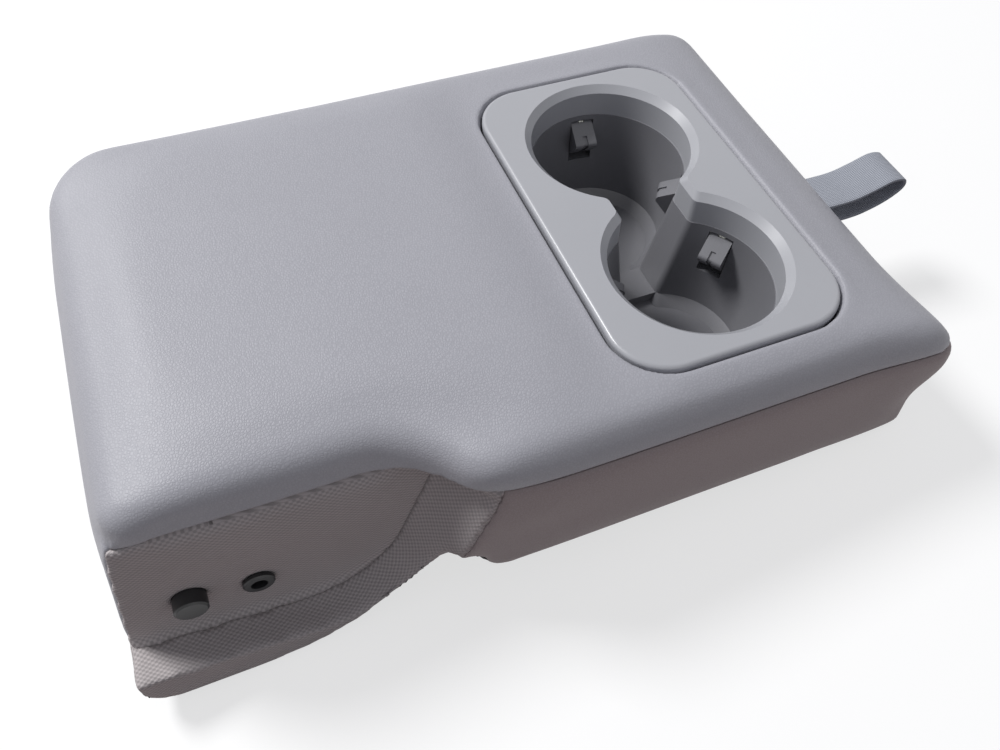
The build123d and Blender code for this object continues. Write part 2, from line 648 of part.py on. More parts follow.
def stop_bush(side):
    """The flanged bush that a stop pin enters: side is -1 near or +1 far."""
    face = POCKET_Y if side < 0 else FAR_Y
    plate = PLATE_NEAR_Y + PLATE if side < 0 else PLATE_FAR_Y - PLATE
    tip = face + side * STOP_FLANGE
    flange = rod(STOP_FLANGE_R, *sorted((face + side * PRESS, tip)), x=STOP_X, z=STOP_Z)
    flange = chamfer(flange.edges().sort_by(Axis.Y)[-1 if side > 0 else 0], 0.6)
    body = flange + rod(STOP_BODY_R, *sorted((plate - side * 2.0, face + side * PRESS)), x=STOP_X, z=STOP_Z)
    return body - rod(STOP_BORE_R, *sorted((tip - side * STOP_BORE_DEPTH, tip)), x=STOP_X, z=STOP_Z)


def cross_strap():
    """The flat steel strap under both arms of the tube, which carries the bowl."""
    low = (CUP_X - CROSS_STRAP_WIDTH / 2, TUBE_NEAR_Y - CROSS_STRAP_END, STRAP_UNDER_Z)
    high = (CUP_X + CROSS_STRAP_WIDTH / 2, TUBE_FAR_Y + CROSS_STRAP_END, BOWL_FOOT_Z)
    body = box_between(low, high)
    body = fillet(body.edges().filter_by(Axis.Z), CROSS_STRAP_END)
    for x, y in bowl_screw_places():
        body -= post(SCREW_R + PILOT, x, y, STRAP_UNDER_Z, BOWL_FOOT_Z)
    return body


def screws(places, under_z, length):
    """Pan-headed screws that point up, with their heads against under_z."""
    group = []
    for x, y in places:
        screw = post(SCREW_R, x, y, under_z, under_z + length)
        head = post(SCREW_HEAD_R, x, y, under_z - SCREW_HEAD, under_z)
        head = chamfer(head.edges().sort_by(Axis.Z)[0], SCREW_HEAD / 4)
        group.append(one_piece(screw + head))
    return ring_group(group)


def board():
    """The stiff board over the underside of the front block."""
    front = front_x(BOARD_Z) - BOARD_FRONT_MARGIN
    length = front - BOARD_REAR_X
    width = FAR_Y - NEAR_Y - BOARD_SIDE_MARGIN * 2
    middle = ((front + BOARD_REAR_X) / 2, (FAR_Y + NEAR_Y) / 2)
    return rounded_block(*middle, length, width, BOARD_CORNER_R, BOARD_Z, BOARD_Z + BOARD)


def strap_line():
    """The centre line of the webbing in X and Z: out over, round, and back under."""
    inner = TUBE_FRONT_X + TUBE_R + ANCHOR + STRAP / 2
    outer = inner + STRAP + GLUE
    loop = inner + STRAP_REACH
    points = [
        (inner, ANCHOR_TAIL_Z),
        (inner, STRAP_UPPER_Z),
        (loop - 12, STRAP_UPPER_Z),
        (loop + 12, STRAP_UPPER_Z + STRAP_RISE + 3),
        (loop + 24, STRAP_UPPER_Z + 2),
        (loop + 13, STRAP_LOWER_Z + 3),
        (loop - 6, STRAP_LOWER_Z - 1.5),
        (outer, STRAP_LOWER_Z - 1.5),
        (outer, ANCHOR_TAIL_Z),
    ]
    return FilletPolyline(*points, radius=STRAP_BEND_R - 0.5)


def pull_strap():
    """The webbing loop that the armrest is pulled down by."""
    ribbon = trace(strap_line(), line_width=STRAP)
    body = across(ribbon, STRAP_Y - STRAP_WIDTH / 2, STRAP_Y + STRAP_WIDTH / 2)
    for z in ANCHOR_RIVET_Z:
        body -= along(RIVET_R + PRESS, TUBE_FRONT_X, TUBE_FRONT_X + 20, z)
    return one_piece(body)


def along(radius, x_from, x_to, z):
    """A round bar that runs along X at the middle of the pull strap."""
    return extrude(Plane.YZ.offset(x_from) * (Pos(STRAP_Y, z) * Circle(radius)), amount=x_to - x_from)


def strap_plate():
    """The steel plate on the front of the tube, which the webbing is riveted to."""
    rear = TUBE_FRONT_X + TUBE_R
    low = (rear, STRAP_Y - ANCHOR_WIDTH / 2, TUBE_Z - TUBE_R)
    high = (rear + ANCHOR, STRAP_Y + ANCHOR_WIDTH / 2, ANCHOR_TOP_Z)
    body = box_between(low, high)
    body = fillet(body.edges().filter_by(Axis.X), 3.0)
    for z in ANCHOR_RIVET_Z:
        body -= along(RIVET_R + PRESS, rear, rear + ANCHOR, z)
    return body


def strap_rivets():
    """The two rivets through both plies of the webbing and the plate."""
    rear = TUBE_FRONT_X + TUBE_R
    front = rear + ANCHOR + STRAP * 2 + GLUE
    group = []
    for z in ANCHOR_RIVET_Z:
        rivet = along(RIVET_R, rear, front, z)
        rivet += along(RIVET_HEAD_R, front, front + RIVET_HEAD, z)
        rivet += along(RIVET_HEAD_R, rear - RIVET_HEAD, rear, z)
        group.append(one_piece(rivet))
    return ring_group(group)


def strap_slots():
    """The two slits that the webbing comes out through."""
    low_y = STRAP_Y - STRAP_WIDTH / 2 - GLUE
    high_y = STRAP_Y + STRAP_WIDTH / 2 + GLUE
    room = Part()
    for z in (STRAP_UPPER_Z, STRAP_LOWER_Z - 1.5):
        half = STRAP / 2 + GLUE
        room += box_between((TUBE_FRONT_X + 20, low_y, z - half), (FAR_AWAY, high_y, z + half))
    return room


def foam():
    """The foam block, with the well for the cups and room for all that it holds."""
    body = cushion(SKIN + GLUE)
    body -= bezel_opening(BEZEL_GAP)
    body -= tube_channel()
    body -= across(plate_outline(GLUE), PLATE_NEAR_Y - GLUE, PLATE_NEAR_Y + PLATE + GLUE)
    body -= across(plate_outline(GLUE), PLATE_FAR_Y - PLATE - GLUE, PLATE_FAR_Y + GLUE)
    body -= rod(SHAFT_R + GLUE, NEAR_Y, FAR_Y + SKIN)
    body -= rod(BUSH_R + GLUE, NEAR_Y, PLATE_NEAR_Y)
    body -= rod(BUSH_R + GLUE, PLATE_FAR_Y, FAR_Y + SKIN)
    body -= rod(STOP_BODY_R + GLUE, NEAR_Y, PLATE_NEAR_Y + PLATE + 2.0 + GLUE, STOP_X, STOP_Z)
    body -= rod(STOP_BODY_R + GLUE, PLATE_FAR_Y - PLATE - 2.0 - GLUE, FAR_Y + SKIN, STOP_X, STOP_Z)
    strap = cross_strap().bounding_box()
    body -= box_between(
        (strap.min.X - GLUE, strap.min.Y - GLUE, BOARD_Z + BOARD),
        (strap.max.X + GLUE, strap.max.Y + GLUE, strap.max.Z),
    )
    board_box = board().bounding_box()
    body -= rounded_block(
        board_box.center().X,
        board_box.center().Y,
        board_box.size.X + GLUE * 2,
        board_box.size.Y + GLUE * 2,
        BOARD_CORNER_R + GLUE,
        BOARD_Z - EDGE_ROLL,
        BOARD_Z + BOARD,
    )
    anchor_low = (TUBE_FRONT_X - TUBE_R, STRAP_Y - ANCHOR_WIDTH / 2 - GLUE, TUBE_Z - TUBE_R - GLUE)
    anchor_high = (TUBE_FRONT_X + 20, STRAP_Y + ANCHOR_WIDTH / 2 + GLUE, STRAP_UPPER_Z + STRAP)
    body -= box_between(anchor_low, anchor_high)
    body -= strap_slots()
    return one_piece(body)


def cover_parts():
    """The cover's panels, cut for the fold axis, the stops and the strap."""
    panels = skins()
    near_holes = rod(BUSH_R + GLUE, NEAR_Y, PLATE_NEAR_Y)
    near_holes += rod(STOP_BODY_R + GLUE, NEAR_Y, PLATE_NEAR_Y, STOP_X, STOP_Z)
    far_holes = rod(BUSH_R + GLUE, PLATE_FAR_Y, FAR_Y + SKIN)
    far_holes += rod(STOP_BODY_R + GLUE, PLATE_FAR_Y, FAR_Y + SKIN, STOP_X, STOP_Z)
    panels["pocket_panel"] = one_piece(panels["pocket_panel"] - near_holes)
    panels["far_side_cover"] = one_piece(panels["far_side_cover"] - far_holes)
    panels["top_cover"] = one_piece(panels["top_cover"] - strap_slots())
    return panels


def all_parts():
    """Every part of the armrest, as a mapping from name to shape."""
    parts = cover_parts()
    parts["foam_core"] = foam()
    parts["frame_tube"] = frame_tube()
    parts["side_plate_near"] = side_plate(PLATE_NEAR_Y)
    parts["side_plate_far"] = side_plate(PLATE_FAR_Y - PLATE)
    parts["pivot_shaft"] = shaft()
    parts["pivot_bush_near"] = pivot_bush(-1)
    parts["pivot_bush_far"] = pivot_bush(1)
    parts["stop_bush_near"] = stop_bush(-1)
    parts["stop_bush_far"] = stop_bush(1)
    parts["carrier_strap"] = cross_strap()
    parts["base_board"] = board()
    parts["bezel"] = bezel()
    parts["cupholder_bowl"] = bowl()
    parts["bezel_screws"] = screws(bezel_screw_places(), FLANGE_UNDER_Z, SCREW_LENGTH)
    parts["bowl_screws"] = screws(bowl_screw_places(), STRAP_UNDER_Z, FLOOR_SCREW_LENGTH)
    parts["tab_hinge_pins"] = ring_group(pin_in(plane, TAB_PIN_R).solid() for plane in tab_places())
    for number, plane in enumerate(tab_places(), start=1):
        parts[f"cup_tab_{number}"] = tab(plane)
        parts[f"tab_spring_{number}"] = tab_spring(plane)
    parts["pull_strap"] = pull_strap()
    parts["strap_plate"] = strap_plate()
    parts["strap_rivets"] = strap_rivets()
    return parts


if __name__ == "__main__":
    os.makedirs("parts", exist_ok=True)
    for name, shape in all_parts().items():
        export_step(shape, f"parts/{name}.step")
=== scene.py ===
"""Looks of a fold-down rear seat armrest with two joined cup holders."""

import json
import logging
import math
from collections.abc import Callable
from dataclasses import dataclass, field
from enum import Enum
from functools import partial

import bmesh
import bpy
import numpy as np
from mathutils import Matrix, Vector
from mathutils.kdtree import KDTree


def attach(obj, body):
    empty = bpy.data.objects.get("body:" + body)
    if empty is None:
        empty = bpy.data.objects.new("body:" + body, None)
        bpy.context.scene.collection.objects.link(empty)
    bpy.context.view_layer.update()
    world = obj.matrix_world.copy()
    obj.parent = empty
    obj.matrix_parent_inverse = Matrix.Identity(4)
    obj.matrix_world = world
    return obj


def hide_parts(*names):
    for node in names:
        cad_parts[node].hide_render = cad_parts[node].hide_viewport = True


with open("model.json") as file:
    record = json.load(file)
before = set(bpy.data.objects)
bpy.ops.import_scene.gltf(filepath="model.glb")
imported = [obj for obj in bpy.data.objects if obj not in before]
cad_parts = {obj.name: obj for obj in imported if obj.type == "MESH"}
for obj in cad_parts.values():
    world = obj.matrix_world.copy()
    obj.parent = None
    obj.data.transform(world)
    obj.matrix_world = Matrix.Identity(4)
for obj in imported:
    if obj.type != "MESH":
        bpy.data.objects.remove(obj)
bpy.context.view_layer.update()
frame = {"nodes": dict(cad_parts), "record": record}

LOG = logging.getLogger("armrest")
MM = 0.001
TINY = 1e-9
X, Y, Z = 0, 1, 2

Pair = tuple[float, float]
Triple = tuple[float, float, float]
Field = Callable[[np.ndarray], np.ndarray]

# How many straight runs stand for an arc and for an eased corner.
ARC_STEPS = 16
BEND_STEPS = 8

# The sockets of a Mix node that mixes colours: the two colours and the result.
MIX_FIRST, MIX_SECOND, MIX_RESULT = 6, 7, 2


class Grain(Enum):
    """How a surface is broken up at close range."""

    SMOOTH = "smooth"
    LEATHER = "leather"
    KNIT = "knit"
    WEAVE = "weave"
    SPARK = "spark"


class Joining(Enum):
    """How two rows of waves make one pattern."""

    STAGGERED = "MULTIPLY"
    SQUARE = "ADD"


class Panel(Enum):
    """The sewn panels of the cover, named as in the CAD model."""

    TOP = "top_cover"
    POCKET = "pocket_panel"
    BAND = "pocket_band"
    FRONT_SIDE = "front_side_cover"
    FAR_SIDE = "far_side_cover"
    BOTTOM = "bottom_cover"


def linear(code: str) -> tuple[float, float, float, float]:
    """Turns an sRGB hex colour into linear values, by the standard curve.

    Args:
        code: The colour as six hex digits.

    Returns:
        Red, green, blue and alpha for a shader socket.
    """
    parts = [int(code[i : i + 2], 16) / 255 for i in (0, 2, 4)]
    values = [c / 12.92 if c <= 0.04045 else ((c + 0.055) / 1.055) ** 2.4 for c in parts]
    return (values[0], values[1], values[2], 1.0)


def add_node(tree: bpy.types.NodeTree, kind: str, links: dict, **settings: object) -> bpy.types.Node:
    """Adds one shader node with its settings, values and links.

    Args:
        tree: The material's node tree.
        kind: The node's type name.
        links: Input name or number to a value, or to an output socket to link from.
        settings: Attributes set on the node itself.

    Returns:
        The new node.
    """
    node = tree.nodes.new(kind)
    for key, value in settings.items():
        setattr(node, key, value)
    for key, value in links.items():
        if isinstance(value, bpy.types.NodeSocket):
            tree.links.new(value, node.inputs[key])
        else:
            node.inputs[key].default_value = value
    return node


def reckon(tree: bpy.types.NodeTree, operation: str, *values: object) -> bpy.types.NodeSocket:
    """Adds a Math node that works on numbers or output sockets, and gives its result."""
    return add_node(tree, "ShaderNodeMath", dict(enumerate(values)), operation=operation).outputs[0]


@dataclass(frozen=True)
class Finish:
    """One real material: its colour, its gloss and the grain of its surface."""

    name: str
    colour: str
    shade: str
    roughness: float
    ior: float = 1.5
    metallic: float = 0.0
    grain: Grain = Grain.SMOOTH
    grain_mm: float = 1.0
    depth_mm: float = 0.1
    sheen: float = 0.0
    mottling_mm: float = 40.0
    grain_tint: float = 0.5
    tones: Pair = (0.3, 0.7)
    pebble_edge: float = 0.25
    knit_row: float = 1.35

    def build(self) -> bpy.types.Material:
        """Makes the material.

        Returns:
            The material, with its grain worked out in real millimetres.
        """
        material = bpy.data.materials.new(self.name)
        material.use_nodes = True
        tree = material.node_tree
        tree.nodes.clear()
        coordinates = add_node(tree, "ShaderNodeTexCoord", {})
        place = coordinates.outputs["Object"]
        scale = 1 / (self.mottling_mm * MM)
        mottle = add_node(tree, "ShaderNodeTexNoise", {"Vector": place, "Scale": scale, "Detail": 3.0})
        height = self.height(tree, place, coordinates.outputs["UV"])
        tone = mottle.outputs["Fac"]
        if height is not None:
            broad = reckon(tree, "MULTIPLY", tone, 1 - self.grain_tint)
            tone = reckon(tree, "MULTIPLY_ADD", height, self.grain_tint, broad)
        low, high = self.tones
        ramp = add_node(tree, "ShaderNodeMapRange", {"Value": tone, "From Min": low, "From Max": high})
        colours = {
            "Factor": ramp.outputs["Result"],
            MIX_FIRST: linear(self.shade),
            MIX_SECOND: linear(self.colour),
        }
        colour = add_node(tree, "ShaderNodeMix", colours, data_type="RGBA")
        shader = add_node(tree, "ShaderNodeBsdfPrincipled", {"Base Color": colour.outputs[MIX_RESULT]})
        shader.inputs["Roughness"].default_value = self.roughness
        shader.inputs["Metallic"].default_value = self.metallic
        shader.inputs["Sheen Weight"].default_value = self.sheen
        if self.metallic == 0.0:
            shader.inputs["IOR"].default_value = self.ior
        if height is not None:
            relief = {"Height": height, "Distance": self.depth_mm * MM, "Strength": 1.0}
            bump = add_node(tree, "ShaderNodeBump", relief)
            tree.links.new(bump.outputs["Normal"], shader.inputs["Normal"])
        add_node(tree, "ShaderNodeOutputMaterial", {"Surface": shader.outputs["BSDF"]})
        return material

    def height(
        self,
        tree: bpy.types.NodeTree,
        place: bpy.types.NodeSocket,
        cloth: bpy.types.NodeSocket,
    ) -> bpy.types.NodeSocket | None:
        """Draws the grain's relief.

        Args:
            tree: The material's node tree.
            place: The coordinates in metres.
            cloth: The coordinates along the cloth in metres, on a woven or knitted piece.

        Returns:
            A height from 0 to 1, or None on a smooth surface.
        """
        step = 1 / (self.grain_mm * MM)
        if self.grain is Grain.LEATHER:
            cell = {"Vector": place, "Scale": step}
            cells = add_node(tree, "ShaderNodeTexVoronoi", cell, feature="DISTANCE_TO_EDGE")
            edge = {"Value": cells.outputs["Distance"], "From Max": self.pebble_edge}
            soft = add_node(tree, "ShaderNodeMapRange", edge, interpolation_type="SMOOTHSTEP")
            return soft.outputs["Result"]
        if self.grain is Grain.KNIT:
            rows = step * math.pi * self.knit_row
            return self.lattice(tree, cloth, step * math.pi, rows, Joining.STAGGERED)
        if self.grain is Grain.WEAVE:
            return self.lattice(tree, cloth, step * math.tau, step * math.tau, Joining.SQUARE)
        if self.grain is Grain.SPARK:
            noise = add_node(tree, "ShaderNodeTexNoise", {"Vector": place, "Scale": step, "Detail": 2.0})
            return noise.outputs["Fac"]
        return None

    def lattice(
        self,
        tree: bpy.types.NodeTree,
        cloth: bpy.types.NodeSocket,
        along: float,
        across: float,
        joining: Joining,
    ) -> bpy.types.NodeSocket:
        """Sets raised loops in rows.

        Args:
            tree: The material's node tree.
            cloth: The coordinates along the cloth in metres.
            along: Radians for each metre along the rows.
            across: Radians for each metre from row to row.
            joining: Staggered rows, or a square grid.

        Returns:
            A height from 0 to 1.
        """
        parts = add_node(tree, "ShaderNodeSeparateXYZ", {0: cloth})
        waves = []
        for output, turn in ((0, along), (1, across)):
            angle = reckon(tree, "MULTIPLY", parts.outputs[output], turn)
            waves.append(reckon(tree, "COSINE", angle))
        both = reckon(tree, joining.value, *waves)
        # A product of two waves runs from -1 to 1 and a sum from -2 to 2.
        swing = 0.5 if joining is Joining.STAGGERED else 0.25
        return reckon(tree, "MULTIPLY_ADD", both, swing, 0.5)


# The grain of the leatherette and of the vinyl beside it.
PEBBLE = {"grain": Grain.LEATHER, "grain_mm": 1.2, "depth_mm": 0.05}

FINISHES: dict[str, Finish] = {
    # Embossed PVC leatherette: an even grey with a fine pebble and a soft, broad highlight.
    "leatherette": Finish("embossed_pvc_leatherette", "A5A5AC", "9D9DA4", 0.5, **PEBBLE),
    # The same PVC on the sides, with painted shade: its colour is set darker and warmer than the top's to
    # stand for the shade that falls on the sides; its surface has less gloss.
    "side_vinyl": Finish("pvc_leatherette_painted_shade", "948889", "8C8081", 0.6, **PEBBLE),
    # Warp-knitted polyester: matt, with staggered rows of raised loops and darker holes between.
    "knit_fabric": Finish(
        "warp_knitted_polyester", "C0B9B9", "A09A9A", 0.95, 1.45,
        grain=Grain.KNIT, grain_mm=1.4, depth_mm=0.22, sheen=0.15, grain_tint=0.75,
    ),
    # Needled polyester felt on the underside: dull and nearly black.
    "base_felt": Finish(
        "needled_polyester_felt", "3C3B3C", "2B2A2B", 0.95, 1.45,
        grain=Grain.SPARK, grain_mm=0.8, depth_mm=0.2,
    ),
    # Moulded polyurethane foam, seen only in gaps.
    "foam": Finish(
        "moulded_polyurethane_foam", "B9B08C", "A79E7C", 0.95, 1.45,
        grain=Grain.SPARK, grain_mm=1.0, depth_mm=0.2,
    ),
    # Injection-moulded ABS with a satin texture: pale grey, with a clear highlight on its chamfers.
    "pale_plastic": Finish(
        "satin_moulded_abs", "ACADB2", "A8A9AE", 0.32, 1.54,
        grain=Grain.SPARK, grain_mm=0.5, depth_mm=0.01,
    ),
    # Injection-moulded polypropylene with a fine spark texture: an even grey, darker down in the cups.
    "dark_plastic": Finish(
        "spark_textured_polypropylene", "7A7A7F", "757579", 0.36, 1.49,
        grain=Grain.SPARK, grain_mm=0.6, depth_mm=0.01,
    ),
    # Black acetal bushes: near black with a small soft highlight.
    "black_plastic": Finish("moulded_black_acetal", "222224", "1C1C1E", 0.42, 1.48),
    # Black polypropylene sheet: plain and dull.
    "board_plastic": Finish("black_polypropylene_sheet", "2A2A2B", "262627", 0.55, 1.49),
    # Electro-dipped steel: black paint with a low gloss.
    "frame_steel": Finish("electro_dipped_steel", "1B1B1C", "171718", 0.45, 1.5),
    # Zinc-plated steel: a bright metal, slightly dulled.
    "zinc_steel": Finish("zinc_plated_steel", "B9BAB6", "AEAFAB", 0.35, metallic=1.0),
    # Plain-woven polyester webbing: blue-grey yarn with the square pattern of the weave.
    "webbing": Finish(
        "woven_polyester_webbing", "B4B7C0", "80858F", 0.8, 1.45,
        grain=Grain.WEAVE, grain_mm=0.95, depth_mm=0.2, sheen=0.1, grain_tint=0.8,
    ),
}


@dataclass
class Materials:
    """Every finish of the armrest, built once and handed out by slot."""

    built: dict[str, bpy.types.Material] = field(default_factory=dict)

    def get(self, slot: str) -> bpy.types.Material:
        """Finds or builds the material of a slot.

        Args:
            slot: The record's material slot.

        Returns:
            The material.
        """
        if slot not in self.built:
            self.built[slot] = FINISHES[slot].build()
        return self.built[slot]

    def dress(self, obj: bpy.types.Object, slot: str) -> None:
        """Gives an object the material of a slot, and no other."""
        obj.data.materials.clear()
        obj.data.materials.append(self.get(slot))


def new_object(name: str, mesh: bpy.types.Mesh) -> bpy.types.Object:
    """Puts a mesh into the scene.

    Args:
        name: The object's name.
        mesh: Its mesh.

    Returns:
        The linked object.
    """
    obj = bpy.data.objects.new(name, mesh)
    bpy.context.scene.collection.objects.link(obj)
    return obj


def add_voxels(obj: bpy.types.Object, size_mm: float) -> None:
    """Gives an object a modifier that remeshes it evenly.

    Args:
        obj: The object.
        size_mm: The width of a voxel.
    """
    remesh = obj.modifiers.new("voxels", "REMESH")
    remesh.mode = "VOXEL"
    remesh.voxel_size = size_mm * MM


def applied(obj: bpy.types.Object) -> bpy.types.Mesh:
    """Gives an object its modified mesh and takes its modifiers off.

    Args:
        obj: The object with modifiers.

    Returns:
        The object's new mesh.
    """
    graph = bpy.context.evaluated_depsgraph_get()
    mesh = bpy.data.meshes.new_from_object(obj.evaluated_get(graph))
    obj.modifiers.clear()
    obj.data = mesh
    return mesh


def coordinates(mesh: bpy.types.Mesh) -> np.ndarray:
    """Reads where a mesh's vertices are.

    Args:
        mesh: The mesh.

    Returns:
        An array with one row for each vertex, in metres.
    """
    flat = np.empty(len(mesh.vertices) * 3)
    mesh.vertices.foreach_get("co", flat)
    return flat.reshape(-1, 3)


def normals(mesh: bpy.types.Mesh) -> np.ndarray:
    """Reads which way a mesh's surface faces at its vertices.

    Args:
        mesh: The mesh.

    Returns:
        An array with one row for each vertex.
    """
    flat = np.empty(len(mesh.vertices) * 3)
    mesh.vertices.foreach_get("normal", flat)
    return flat.reshape(-1, 3)


def arc(centre: Pair, radius: float, start: float, sweep: float) -> list[Pair]:
    """Lists points along an arc.

    Args:
        centre: Its middle.
        radius: Its radius.
        start: The angle that it starts at, in degrees.
        sweep: How far it turns, in degrees.

    Returns:
        Points on the arc, ends included.
    """
    turns = [math.radians(start + sweep * i / ARC_STEPS) for i in range(ARC_STEPS + 1)]
    return [(centre[0] + radius * math.cos(a), centre[1] + radius * math.sin(a)) for a in turns]


def bend(start: Pair, corner: Pair, end: Pair) -> list[Pair]:
    """Lists points round a corner that is eased from start to end.

    Args:
        start: Where the bend starts.
        corner: The corner that it would have if it were sharp.
        end: Where the bend ends.

    Returns:
        Points on the bend, ends included.
    """
    points = []
    for step in range(BEND_STEPS + 1):
        t = step / BEND_STEPS
        first, second, third = (1 - t) ** 2, 2 * t * (1 - t), t * t
        points.append(tuple(first * a + second * b + third * c for a, b, c in zip(start, corner, end)))
    return points


def fade(values: np.ndarray, nothing: float, whole: float) -> np.ndarray:
    """Rises evenly from 0 at one place to 1 at another, and stays there."""
    return np.clip((values - nothing) / (whole - nothing), 0.0, 1.0)


def eased(mesh: bpy.types.Mesh, moves: np.ndarray, rounds: int) -> np.ndarray:
    """Evens out how far neighbouring vertices move.

    Args:
        mesh: The mesh that the vertices belong to.
        moves: One row for each vertex.
        rounds: How often each is averaged with its neighbours.

    Returns:
        The evened moves.
    """
    ends = np.empty(len(mesh.edges) * 2, dtype=int)
    mesh.edges.foreach_get("vertices", ends)
    a, b = ends.reshape(-1, 2).T
    count = np.bincount(ends, minlength=len(moves))[:, None] + 1
    for _ in range(rounds):
        total = moves.copy()
        np.add.at(total, a, moves[b])
        np.add.at(total, b, moves[a])
        moves = total / count
    return moves


def beside(points: np.ndarray, line: list[Pair]) -> tuple[np.ndarray, np.ndarray]:
    """Measures points against a line of straight runs.

    Args:
        points: One row for each point.
        line: The line's points in order.

    Returns:
        How far each point lies to the left of the line, and how far along it.
    """
    ends = np.array(line)
    nearest = np.full(len(points), np.inf)
    left = np.zeros(len(points))
    along = np.zeros(len(points))
    before = 0.0
    for start, end in zip(ends[:-1], ends[1:]):
        step = end - start
        length = float(np.hypot(*step))
        part = np.clip((points - start) @ step / length**2, 0.0, 1.0)
        away = points - start - part[:, None] * step
        distance = np.hypot(away[:, 0], away[:, 1])
        side = np.sign(step[0] * away[:, 1] - step[1] * away[:, 0])
        better = distance < nearest
        nearest = np.where(better, distance, nearest)
        left = np.where(better, distance * side, left)
        along = np.where(better, before + part * length, along)
        before += length
    return left, along


def past(axis: int, place: float) -> Field:
    """Gives a measure of how far points lie past a place on one axis."""
    return lambda points: points[:, axis] - place


def below(limit: float) -> Pair:
    """Gives the range below a limit."""
    return (-math.inf, limit)


def above(limit: float) -> Pair:
    """Gives the range above a limit."""
    return (limit, math.inf)


@dataclass(frozen=True)
class Zone:
    """A box round a part of the armrest at rest, in millimetres, endless where it has no limits."""

    x: Pair = (-math.inf, math.inf)
    y: Pair = (-math.inf, math.inf)
    z: Pair = (-math.inf, math.inf)

    def holds(self, points: np.ndarray) -> np.ndarray:
        """Marks the points inside the box.

        Args:
            points: One row for each point.

        Returns:
            True or False for each point.
        """
        inside = np.ones(len(points), dtype=bool)
        for axis, (low, high) in enumerate((self.x, self.y, self.z)):
            inside &= (points[:, axis] > low) & (points[:, axis] < high)
        return inside

    def misses(self, points: np.ndarray) -> np.ndarray:
        """Marks the points outside the box."""
        return ~self.holds(points)


@dataclass(frozen=True)
class SideView:
    """The cushion's curves as seen from the side, in X and Z, in millimetres and degrees."""

    behind: float = -400.0
    ahead: float = 900.0
    rear_x: float = -15.0
    rear_drop: float = 104.0
    rear_lean: float = 10.0
    heel_radius: float = 16.0
    heel_z: float = -34.0
    lobe_centre: Pair = (15.0, 60.0)
    lobe_radius: float = 110.0
    lobe_sweep: float = 55.8
    valley_top: tuple[Pair, Pair, Pair] = ((111.0, -0.1), (115.0, 1.2), (115.7, -3.0))
    valley_foot: tuple[Pair, Pair, Pair] = ((117.3, -12.0), (118.0, -16.0), (122.0, -16.0))
    front_x: float = 337.5
    front_drop: float = 76.0
    front_lean: float = 7.4
    toe_radius: float = 10.0
    toe_z: float = -6.0
    floor_end: Pair = (36.0, -35.5)
    floor_run: float = 136.0
    floor_tilt: float = 7.0
    sweep_radius: float = 50.0
    sweep_turn: float = 77.0
    sweep_run: float = 50.0

    def underside(self) -> list[Pair]:
        """Draws the underside: the heel, the lobe, the valley and the toe.

        Returns:
            Its points from the rear to the front.
        """
        heel_x = self.rear_x - self.rear_drop * math.tan(math.radians(self.rear_lean)) + self.heel_radius
        toe_x = self.front_x + self.front_drop * math.tan(math.radians(self.front_lean)) - self.toe_radius
        line = [(self.behind, self.heel_z)]
        line += arc((heel_x, self.heel_z), self.heel_radius, 180, 90)
        line += arc(self.lobe_centre, self.lobe_radius, -90, self.lobe_sweep)
        line += bend(*self.valley_top)
        line += bend(*self.valley_foot)
        line += arc((toe_x, self.toe_z), self.toe_radius, -90, 90)
        return line + [(self.ahead, self.toe_z)]

    def scoop(self) -> list[Pair]:
        """Draws the pocket's floor and the sweep that rises from it.

        Returns:
            Their points from the rear to the front.
        """
        tilt = math.radians(self.floor_tilt)
        rise = math.radians(self.sweep_turn - self.floor_tilt)
        x, z = self.floor_end
        centre = (x + self.sweep_radius * math.sin(tilt), z + self.sweep_radius * math.cos(tilt))
        line = [(x - self.floor_run, z + self.floor_run * math.tan(tilt))]
        line += arc(centre, self.sweep_radius, -90 - self.floor_tilt, self.sweep_turn)
        end_x, end_z = line[-1]
        return line + [(end_x + self.sweep_run, end_z + self.sweep_run * math.tan(rise))]


